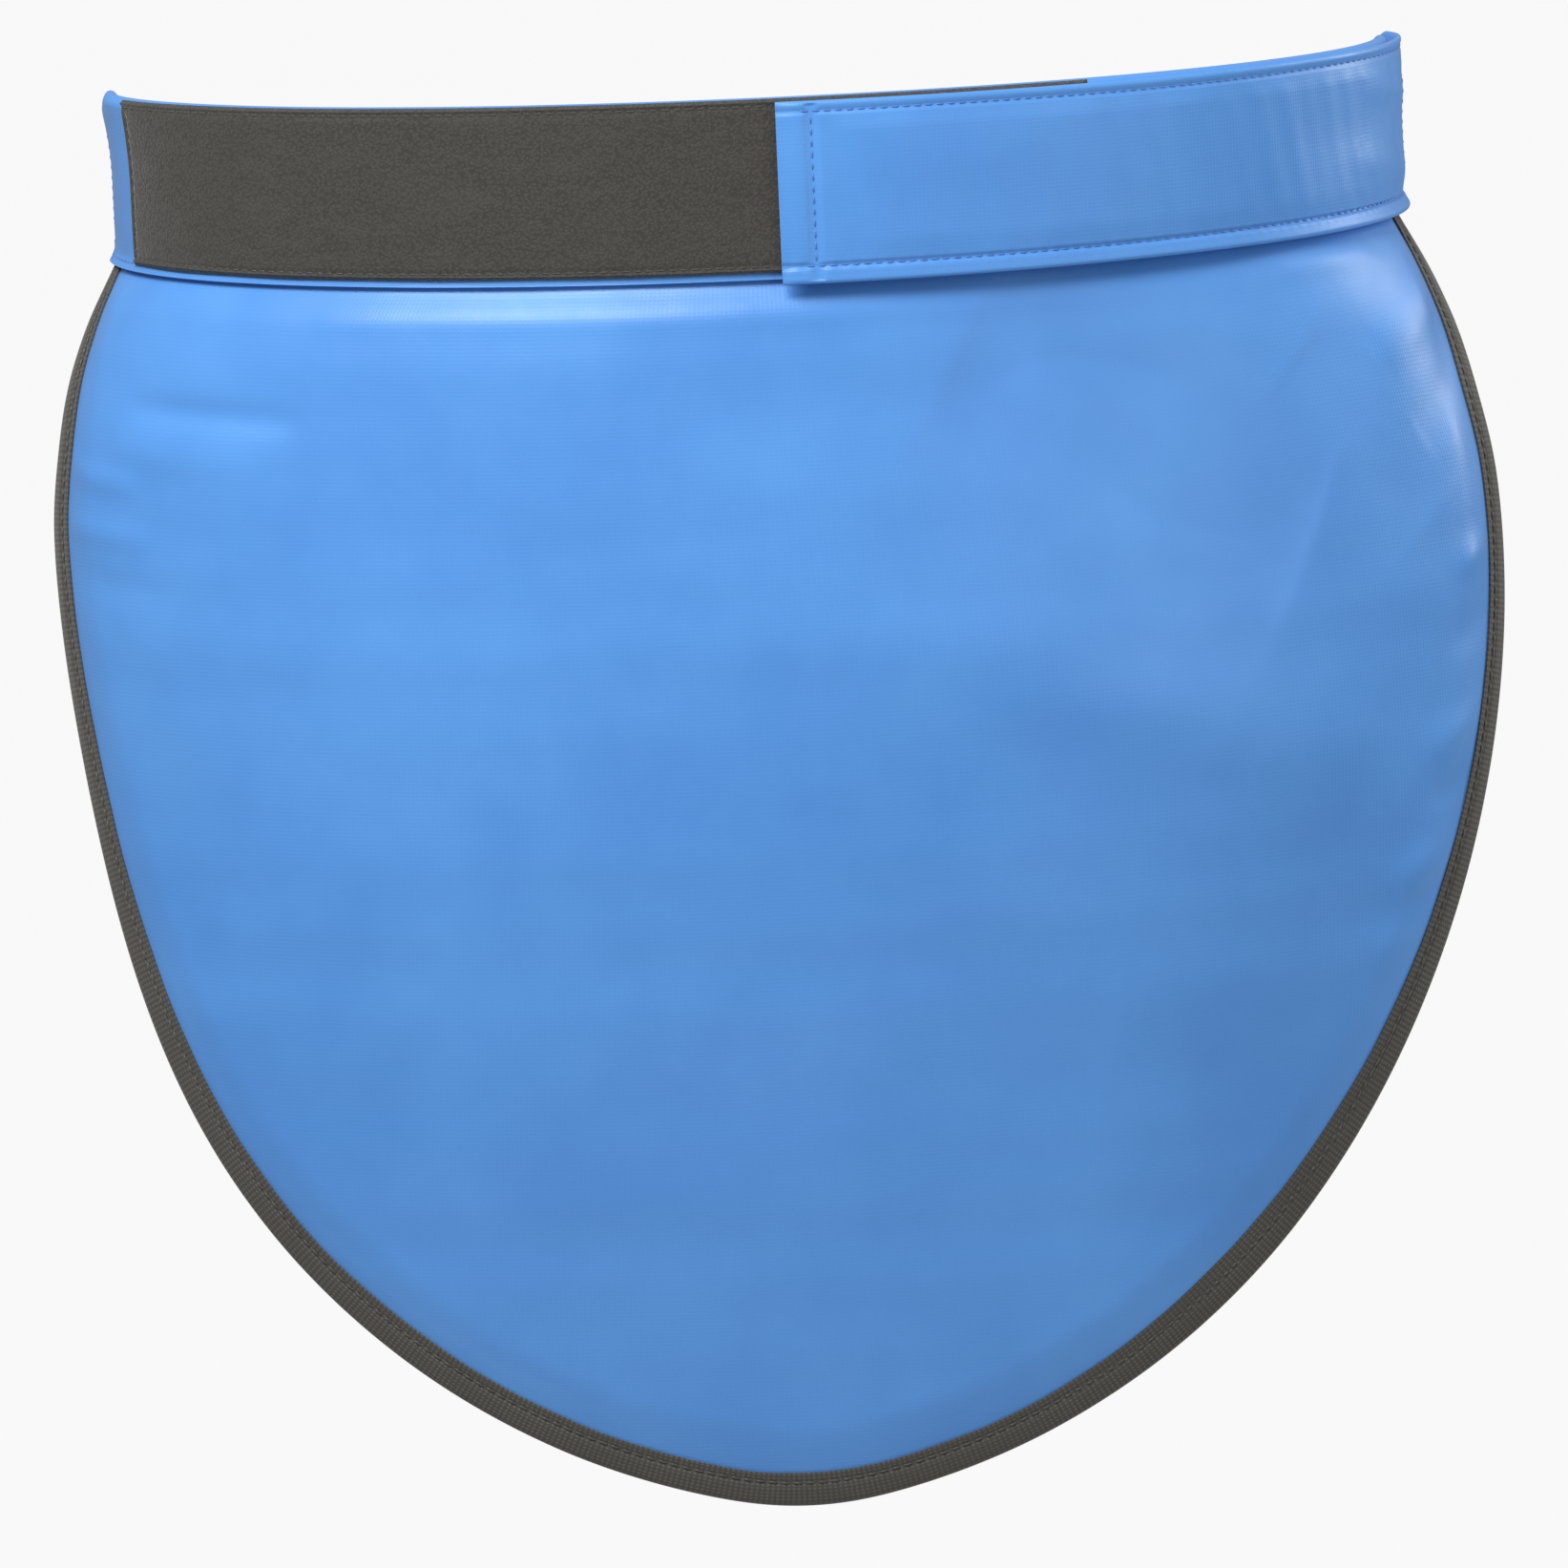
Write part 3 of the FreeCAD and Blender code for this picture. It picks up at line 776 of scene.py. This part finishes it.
def make_webbing():
    """The stiff tape inside the waistband: flat, with rolled selvedges."""
    heights = np.linspace(-1, 1, 40)
    edge = np.clip((1 - np.abs(heights)) / 0.03, 0, 1) ** 0.5
    ring_h = np.concatenate([heights, heights[::-1]])
    ring_o = np.concatenate([edge, -edge[::-1]]) * 0.6
    a, h = np.meshgrid(np.linspace(-BAND_END + 0.3, BAND_END - 0.3, 180), ring_h, indexing="ij")
    h = WEBBING_HALF * h - (crown_dip(a) + 1.2) * smooth(h, 0, 1)
    tape = tube("waistband_webbing_tape", place(a, h, 2.3 + ring_o[None] + 0 * a), flat_uv(a, h))
    finish_piece(tape, WEBBING, "shield", ["waistband_webbing"])


def bartack(angle, bottom, top, offset, width=2.6, pitch=0.55):
    """A dense zigzag of thread, as stitch centres and directions."""
    heights = np.arange(bottom, top, pitch)
    a = angle + 0 * heights
    centre = place(a, heights, offset + 0 * heights)
    out = normals(a, heights)
    up = np.array([0.0, 0.0, 1.0])
    along = np.cross(up, out)
    lean = np.where(np.arange(len(heights)) % 2 == 0, 0.12, -0.12)[:, None]
    return centre, along + up * lean, out, width


def make_bartacks():
    rows = []
    for name, angle in (("right", -86.3), ("left", 86.3)):
        centre, along, out, width = bartack(angle, -24.6, -18.0, CASING[1] - 0.05)
        rows.append(stitch_row("bartack_" + name, centre, along, out, width, 0.27))
    tacks = join("waistband_bartack_stitches", rows)
    finish_piece(tacks, BLUE_THREAD, "shield", ["waistband_bartacks"])


def stitched_box(name, start, end, offset, material, body, nodes):
    """A square of stitches with a cross in it."""
    s = STITCH_BOX
    lines = [((start, -s), (end, -s)), ((start, s), (end, s)), ((start, -s), (start, s)),
             ((end, -s), (end, s)), ((start, -s), (end, s)), ((start, s), (end, -s))]  # fmt: skip
    rows = []
    for i, (p, q) in enumerate(lines):
        a, h = np.linspace(p[0], q[0], 30), np.linspace(p[1], q[1], 30)
        centre, along, out = on_line(a, h, offset(a, h), 3.0)
        rows.append(stitch_row(f"{name}_{i}", centre, along, out, 2.4))
    return finish_piece(join(name, rows), material, body, nodes)


def anchor_face(angle, height):
    """Offset at which the anchor's stitches sink into the casing."""
    return CASING[1] - 0.2 + corner_lean(angle, height)


def make_strap_anchor():
    stitched_box("strap_anchor_stitches", -93.4, -88.6, anchor_face, BLUE_THREAD, "shield",
                 ["strap_anchor_thread"])  # fmt: skip


# -------------------------------- hook and loop
def pad_ring(bottom, top, low, high, columns, round_mm):
    """A flat strip's section as (height, offset): a face with rounded edges, and its back."""
    heights = np.linspace(bottom, top, columns)
    edge = np.minimum(heights - bottom, top - heights)
    face = low + (high - low) * np.clip(edge / round_mm, 0, 1) ** 0.5
    face = np.maximum(face, low + 0.25)
    return [(h, o) for h, o in zip(heights, face)] + [(h, low) for h in heights[::-1]]


def make_loop_strip():
    ring = np.array(pad_ring(LOOP_BOTTOM, LOOP_TOP, LOOP[0], LOOP[1], 56, 0.9))
    angles = np.linspace(LOOP_FROM, LOOP_TO, 300)
    a, h = np.meshgrid(angles, ring[:, 0], indexing="ij")
    ends = np.minimum(a - LOOP_FROM, LOOP_TO - a) * MM_PER_DEGREE
    rounded = np.clip(ends / 0.9, 0, 1) ** 0.5
    top = ring[:, 1][None] > LOOP[0] + 0.1
    middle = (LOOP_TOP + LOOP_BOTTOM) / 2
    from_side = 25.0 - np.abs(h - middle)
    seam = bump(from_side, 2.0, 1.3) + bump(ends, 3.4, 1.5) * (from_side > 2.0)
    nap = 0.10 * wobble(a * 0.6 + h * 0.05, 41) * wobble(h * 0.35, 42)
    offset = ring[:, 1][None] + np.where(top, -0.5 * np.clip(seam, 0, 1) + nap * (from_side > 3), 0)
    offset = LOOP[0] + (offset - LOOP[0]) * (0.2 + 0.8 * rounded) + corner_lean(a, h)
    strip = tube("loop_strip_pile", place(a, h, offset), flat_uv(a, h))
    finish_piece(strip, PILE, "shield", ["loop_strip"])
    rows = []
    line = np.linspace(LOOP_FROM + 1, HOOK_FROM - 3.2, 260)
    for i, level in enumerate((LOOP_BOTTOM + 2.0, LOOP_TOP - 2.0)):
        heights = 0 * line + level
        centre, along, out = on_line(line, heights, LOOP[1] - 0.45 + corner_lean(line, heights), 3.3)
        rows.append(stitch_row(f"loop_stitches_{i}", centre, along, out))
    up = np.linspace(LOOP_BOTTOM + 3.5, LOOP_TOP - 3.5, 60)
    across = 0 * up + LOOP_FROM + 1.0
    centre, along, out = on_line(across, up, LOOP[1] - 0.45 + corner_lean(across, up), 3.3)
    rows.append(stitch_row("loop_stitches_end", centre, along, out))
    stitches = join("loop_strip_stitches", rows)
    finish_piece(stitches, DARK_THREAD, "shield", ["loop_strip_thread"])


HOOK_BASE = 6.3  # offset of the hook tape's face, which the hooks stand on


def make_hook_strip():
    """The hook tape, and its rows of small bent hooks reaching for the loop pile."""
    ring = np.array(pad_ring(-HOOK_HALF, HOOK_HALF, HOOK[1], HOOK_BASE, 30, 0.5))
    ring[:, 1] = np.where(ring[:, 1] > HOOK[1], HOOK[1], ring[:, 1])
    angles = np.linspace(HOOK_FROM, HOOK_TO, 60)
    a, h = np.meshgrid(angles, ring[:, 0], indexing="ij")
    tape = tube("hook_tape", place(a, h, ring[:, 1][None] + 0 * a), flat_uv(a, h))
    points, faces = [], []
    pitch = 1.7
    columns = int((HOOK_TO - HOOK_FROM) * 2.0 / pitch)
    for i, angle in enumerate(np.linspace(HOOK_FROM + 0.8, HOOK_TO - 0.8, columns)):
        for height in np.arange(-HOOK_HALF + 1.6, HOOK_HALF - 1.4, pitch):
            level = height + (0.5 * pitch if i % 2 else 0.0)
            spine = [(0.0, 0.1), (0.02, -0.3), (0.16, -0.58), (0.42, -0.6), (0.55, -0.42)]
            base = len(points)
            centre = form(angle, level)
            out = normals(angle, level)
            along = np.cross(np.array([0.0, 0.0, 1.0]), out)
            for k, (shift, lift) in enumerate(spine):
                middle = centre + out * (HOOK_BASE + lift) + along * shift * (1 if i % 4 < 2 else -1)
                half = 0.15 if k < 3 else 0.1
                up = np.array([0.0, 0.0, half])
                wide = along * half if k < 2 else out * half
                points += [middle - up - wide, middle - up + wide, middle + up + wide, middle + up - wide]
            for k in range(len(spine) - 1):
                for j in range(4):
                    m = (j + 1) % 4
                    row = base + 4 * k
                    faces.append((row + j, row + m, row + m + 4, row + j + 4))
            faces.append((base + 3, base + 2, base + 1, base))
            last = base + 4 * (len(spine) - 1)
            faces.append((last, last + 1, last + 2, last + 3))
    hooks = make_mesh("hooks", np.array(points) * MM, faces, sharp=180)
    strip = join("hook_strip_tape", [tape, hooks])
    finish_piece(strip, HOOKS, "tab", ["hook_strip"])


# -------------------------------- the closure tab
TAB_SLEEVE_TO = 105.0
TAB_TAPER_FROM = 96.0
TAB_ROW_LOW, TAB_ROW_HIGH = 5.4, 2.9  # mm from the tab's lower and upper edge to its seams
TAB_HEM = 6.4  # mm from the tab's free end to the hem's stitches
TAB_PER_DEGREE = 2.15  # mm in a degree at the tab's free end


# The tab's creases: (from, to, half width mm, lift mm), points as (angle, height).
TAB_FOLDS = [
    ((70, 14), (92, 8), 4.0, 0.5), ((66, -6), (90, -14), 5.0, 0.45),
    ((56, 3), (76, 4), 9.0, -0.4), ((8, 6), (26, 9), 9.0, 0.3),
]  # fmt: skip


def tab_levels(angle):
    """Heights of the tab's lower and upper edge."""
    low = TAB_BOTTOM + 0 * angle
    high = TAB_TOP + TAB_LIFT * smooth(angle, 30.0, 80.0) + 0 * angle
    taper = smooth(angle, TAB_TAPER_FROM, TAB_SLEEVE_TO)
    low = low + (-STRAP_HALF - 2.5 - low) * taper
    high = high + (STRAP_HALF + 2.5 - high) * taper
    return low + rise(angle), high + rise(angle)


def tab_base(angle):
    """Offset of the middle of the tab's thickness."""
    return TAB_MIDDLE - TAB_DROP * smooth(angle, TAB_DROP_FROM, TAB_DROP_TO)


def tab_lean(angle, height):
    """The tab leans out with the band's corner at the left hip, and is upright again at the strap."""
    return corner_lean(np.maximum(angle, 0.0), height) * (1 - smooth(angle, 90, 96))


def tab_relief(angle, height):
    """The tab's outer face: seams pull in, the cloth between them swells, the free end is a flat hem."""
    low, high = tab_levels(angle)
    end = (angle - TAB_FROM) * TAB_PER_DEGREE
    from_low, from_high = height - low, high - height
    seams = 0.62 * bump(from_low, TAB_ROW_LOW, 1.7) + 0.45 * bump(from_high, TAB_ROW_HIGH, 1.3)
    seams = np.maximum(seams, 0.55 * bump(end, TAB_HEM, 1.8))
    inside = smooth(from_low, TAB_ROW_LOW, TAB_ROW_LOW + 9) * smooth(from_high, TAB_ROW_HIGH, 9)
    swell = 0.5 * inside * smooth(end, TAB_HEM, TAB_HEM + 14) + 0.2 * bump(end, 3.0, 3.2)
    pull = 0.22 * wobble(angle * 0.35 + height * 0.03, 51) * inside
    creases = sum(fold(angle, height, *crease) for crease in TAB_FOLDS)
    pucker = 0.10 * np.sin(angle * 4.1) * bump(from_low, TAB_ROW_LOW, 4.0)
    return swell + pull + creases * inside - seams + pucker


def tab_face(angle, height):
    """Offset of the tab's outer face."""
    return tab_base(angle) + (TAB[1] - TAB[0]) / 2 + tab_relief(angle, height) + tab_lean(angle, height)


def make_tab():
    half = (TAB[1] - TAB[0]) / 2
    hem, sleeve = np.linspace(TAB_FROM, TAB_FROM + 5, 26), np.linspace(TAB_FROM + 5.4, TAB_SLEEVE_TO, 236)
    angles = np.concatenate([hem, sleeve])
    spans = ((0, 0.22, 28), (0.235, 0.80, 30), (0.815, 1, 22))
    share = np.concatenate([np.linspace(*span) for span in spans])
    turn = np.linspace(0, math.pi, 9)[1:-1]
    low, high = (x[:, None] for x in tab_levels(angles))
    a = angles[:, None]
    end_thin = 0.62 + 0.38 * smooth((a - TAB_FROM) * TAB_PER_DEGREE, 0, 5)
    wide = half * end_thin + 0.45 * smooth(a, 96, 100)
    base = tab_base(a)

    def ring(cut):
        thick = np.maximum(wide - cut, 0.05)
        lo, hi = low + half, high - half
        face = lo + (hi - lo) * share[None]
        outer = thick + tab_relief(a, face) * (1.0 if cut == 0 else 0.6)
        outer = np.maximum(outer, 0.2 - 0.15 * (cut > 0))
        edge = half - cut
        over = hi + edge * np.sin(turn)[None]
        under = lo - edge * np.sin(turn)[None]
        tops = (over, thick * np.cos(turn)[None])
        backs = (face[:, ::-1], -thick + 0 * face)
        bottoms = (under, -thick * np.cos(turn)[None])
        parts = [(face, outer), tops, backs, bottoms]
        return np.concatenate([p[0] for p in parts], 1), np.concatenate([p[1] + 0 * p[0] for p in parts], 1)

    outer_h, outer_o = ring(0.0)
    inner_h, inner_o = ring(TAB_WALL)
    closing = 1 - smooth((a - TAB_FROM) * TAB_PER_DEGREE, 0.6, 2.4)
    inner_o = inner_o * (1 - closing)
    outer = place(a, outer_h, base + outer_o + tab_lean(a, outer_h))
    inner = place(a, inner_h, base + inner_o + tab_lean(a, inner_h))
    girth = np.concatenate([[0], np.cumsum(np.hypot(np.diff(outer_h[60]), np.diff(outer_o[60])))])
    lengthwise = np.radians(a) * CLOTH_RADIUS + 0 * outer_h
    uvs = np.stack([lengthwise, np.broadcast_to(girth * MM, outer_h.shape)], -1)
    sleeve = tube("closure_tab_cloth", outer, uvs, inner)
    finish_piece(sleeve, SHELL, None, ["tab_casing"])
    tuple(TAB_FOLD[0])
    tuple(TAB_FOLD[1])
    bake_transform(sleeve)
    rows = []
    line = np.linspace(TAB_FROM + 2.0, TAB_TAPER_FROM - 2.5, 320)
    low, high = tab_levels(line)
    for i, level in enumerate((low + TAB_ROW_LOW, high - TAB_ROW_HIGH)):
        centre, along, out = on_line(line, level, tab_face(line, level) + 0.05, 3.2)
        rows.append(stitch_row(f"tab_stitches_{i}", centre, along, out))
    across = TAB_FROM + TAB_HEM / TAB_PER_DEGREE
    low, high = tab_levels(np.array(across))
    up = np.linspace(low + TAB_ROW_LOW + 1, high - TAB_ROW_HIGH - 1, 60)
    centre, along, out = on_line(0 * up + across, up, tab_face(0 * up + across, up) + 0.05, 3.2)
    rows.append(stitch_row("tab_stitches_end", centre, along, out))
    finish_piece(join("closure_tab_stitches", rows), BLUE_THREAD, "tab", ["tab_thread"])
    stitched_box("tab_strap_stitches", 88.4, 95.0, tab_face, BLUE_THREAD, "tab",
                 ["tab_strap_thread"])  # fmt: skip
    up = np.linspace(-STITCH_BOX, STITCH_BOX, 40) + rise(103.4)
    sewn = tab_base(103.4) + half + 0.45 + tab_relief(0 * up + 103.4, up)
    centre, along, out = on_line(0 * up + 103.4, up, sewn, 3.0)
    end_row = stitch_row("strap_end_stitches", centre, along, out, 2.4)
    finish_piece(end_row, BLUE_THREAD, "strap", ())


def make_stiffener():
    """The flat strip inside the tab that keeps it straight."""
    angles = np.linspace(TAB_FROM + 1.0, TAB_TO - 2.4, 150)[:, None]
    low, high = tab_levels(angles)
    share = np.linspace(0, 1, 24)
    share = np.concatenate([share, share[::-1]])[None]
    side = np.repeat([0.28, -0.28], 24)[None]
    h = low + 2.2 + (high - low - 4.4) * share
    strip = tube("tab_stiffener_strip", place(angles, h, tab_base(angles) + side + tab_lean(angles, h)),
                 flat_uv(angles, h))  # fmt: skip
    finish_piece(strip, WEBBING, "tab", ["tab_stiffener"])


def joint_point(name, along, across=0.0):
    """A point in metres at an offset (Y, X) in millimetres from a joint's axis."""
    joint = next(j for j in frame["joints"] if j["name"] == name)
    x, y, z = joint["pos_m"]
    return (x + across * MM, y + along * MM, z)


TAB_FOLD = (joint_point("tab_peel", 5.2), joint_point("tab_peel", -5.2))
STRAP_FOLD = (joint_point("strap_swing", -3.0), joint_point("strap_swing", 16.0, 8.0))


# -------------------------------- the elastic strap
STRAP_FROM, STRAP_TO = 101.4, 271.0
STRAP_RIBS = 8


def strap_middle(angle):
    """Offset of the strap, from the waistband's end to the tab's."""
    start = 360.0 - STRAP_ROOT_ANGLE
    end = TAB_TO + 0.7
    return STRAP_START + (TAB_MIDDLE - TAB_DROP - STRAP_START) * smooth(-angle, -start + 20, -end - 20)


def make_strap():
    columns = 8 * STRAP_RIBS + 1
    across = np.linspace(-1, 1, columns)
    ribs = 0.16 * np.abs(np.sin(across * math.pi * STRAP_RIBS / 2)) - 0.16
    edge = np.clip((1 - np.abs(across)) / 0.05, 0, 1) ** 0.5
    half = STRAP_THICK / 2
    face = (half + ribs) * (0.35 + 0.65 * edge)
    ring_h = np.concatenate([across, across[::-1]]) * STRAP_HALF
    ring_o = np.concatenate([face, -face[::-1]])
    angles = np.linspace(STRAP_TO, STRAP_FROM, 420)
    a = angles[:, None]
    h = ring_h[None] + rise(a)
    offset = strap_middle(a) + ring_o[None]
    uvs = np.stack([np.radians(a) * 0.15 + 0 * h, ring_h[None] * MM + 0 * a], -1)
    strap = tube("elastic_strap_weave", place(a, h, offset)[:, ::-1], uvs[:, ::-1])
    finish_piece(strap, ELASTIC, None, ["elastic_strap"])
    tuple(STRAP_FOLD[0])
    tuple(STRAP_FOLD[1])
    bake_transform(strap)


# -------------------------------- the rest of the CAD
def dress_cad():
    """Inner pieces whose CAD shape is right keep it and get their own material."""
    for node in ("front_core_sheet", "rear_core_sheet"):
        for held in frame["nodes"][node].material_slots:
            held.material = VINYL


# -------------------------------- camera, light and floor
CAMERA_DISTANCE = 3.2
CAMERA_ELEVATION = 8.9
CAMERA_ROLL = 2.5
CAMERA_TARGET = (0.0015, -0.060, -0.1802)
FRAME_WIDTH = 0.4572  # metres that the picture spans at the target
WORLD_LEVEL = 0.25
FLOOR_DROP = 0.42  # metres from the object's lowest point to the floor
FLOOR_HALF = 30.0
FLOOR_WHITE = 0.93  # share of plain white that the camera sees in the floor; the rest is lit


def make_camera():
    data = bpy.data.cameras.new("camera")
    cam = bpy.data.objects.new("camera", data)
    bpy.context.scene.collection.objects.link(cam)
    tilt = math.radians(CAMERA_ELEVATION)
    back = Vector((0, -math.cos(tilt), math.sin(tilt)))
    cam.location = Vector(CAMERA_TARGET) + back * CAMERA_DISTANCE
    cam.rotation_mode = "QUATERNION"
    roll = Matrix.Rotation(math.radians(-CAMERA_ROLL), 3, "Z").to_quaternion()
    cam.rotation_quaternion = (-back).to_track_quat("-Z", "Y") @ roll
    data.sensor_width = 36
    data.lens = data.sensor_width * CAMERA_DISTANCE / FRAME_WIDTH
    data.clip_start, data.clip_end = 0.01, 100
    bpy.context.scene.camera = cam


def area_light(name, place_at, look_at, size, power, colour=(1, 1, 1)):
    data = bpy.data.lights.new(name, "AREA")
    data.shape = "RECTANGLE"
    data.size, data.size_y = size
    data.energy = power
    data.color = colour
    obj = bpy.data.objects.new(name, data)
    obj.location = place_at
    aim = Vector(look_at) - Vector(place_at)
    obj.rotation_mode = "QUATERNION"
    obj.rotation_quaternion = aim.to_track_quat("-Z", "Y")
    bpy.context.scene.collection.objects.link(obj)


def seen_white(tree, kind):
    """The nodes for plain white where the camera sees it, with the lit surface or sky elsewhere."""
    path = tree.nodes.new("ShaderNodeLightPath")
    white = tree.nodes.new(kind)
    white.inputs[0].default_value = (1, 1, 1, 1)
    white.inputs[1].default_value = 1.0
    mix = tree.nodes.new("ShaderNodeMixShader")
    return path, white, mix


def make_world():
    world = bpy.data.worlds.new("studio")
    bpy.context.scene.world = world
    world.use_nodes = True
    tree = world.node_tree
    sky = tree.nodes["Background"]
    sky.inputs[0].default_value = (0.96, 0.98, 1.0, 1)
    sky.inputs[1].default_value = WORLD_LEVEL
    output = tree.nodes["World Output"]
    path, white, mix = seen_white(tree, "ShaderNodeBackground")
    tree.links.new(path.outputs["Is Camera Ray"], mix.inputs[0])
    tree.links.new(sky.outputs[0], mix.inputs[1])
    tree.links.new(white.outputs[0], mix.inputs[2])
    tree.links.new(mix.outputs[0], output.inputs[0])


def make_floor():
    """A pale floor well below the object: it is held at the waist, not set down."""
    level = LOW.z - FLOOR_DROP
    signs = ((-1, -1), (1, -1), (1, 1), (-1, 1))
    mesh = bpy.data.meshes.new("floor")
    mesh.from_pydata([(x * FLOOR_HALF, y * FLOOR_HALF, level) for x, y in signs], [], [(0, 1, 2, 3)])
    floor = bpy.data.objects.new("floor", mesh)
    bpy.context.scene.collection.objects.link(floor)
    material = bpy.data.materials.new("floor")
    material.use_nodes = True
    tree = material.node_tree
    shader = tree.nodes["Principled BSDF"]
    shader.inputs["Base Color"].default_value = (0.7, 0.7, 0.7, 1)
    shader.inputs["Roughness"].default_value = 0.9
    output = tree.nodes["Material Output"]
    path, white, mix = seen_white(tree, "ShaderNodeEmission")
    share = tree.nodes.new("ShaderNodeMath")
    share.operation = "MULTIPLY"
    share.inputs[1].default_value = FLOOR_WHITE
    tree.links.new(path.outputs["Is Camera Ray"], share.inputs[0])
    tree.links.new(share.outputs[0], mix.inputs[0])
    tree.links.new(shader.outputs[0], mix.inputs[1])
    tree.links.new(white.outputs[0], mix.inputs[2])
    tree.links.new(mix.outputs[0], output.inputs[0])
    mesh.materials.append(material)


def make_lights():
    area_light("key", (-0.5, -0.85, 0.95), (0, -0.06, 0.0), (1.0, 0.5), 20.5)
    area_light("side", (1.1, 0.3, 0.3), (0.15, -0.05, -0.12), (0.3, 0.7), 5.0)
    area_light("fill", (1.1, -1.3, 0.2), (0.05, -0.05, -0.15), (1.1, 1.1), 4.0)


make_camera()
make_world()
make_floor()
make_lights()
make_covers()
make_binding()
make_waistband()
make_webbing()
make_bartacks()
make_strap_anchor()
make_loop_strip()
make_hook_strip()
make_tab()
make_stiffener()
make_strap()
dress_cad()

bpy.context.scene.view_settings.view_transform = "Standard"
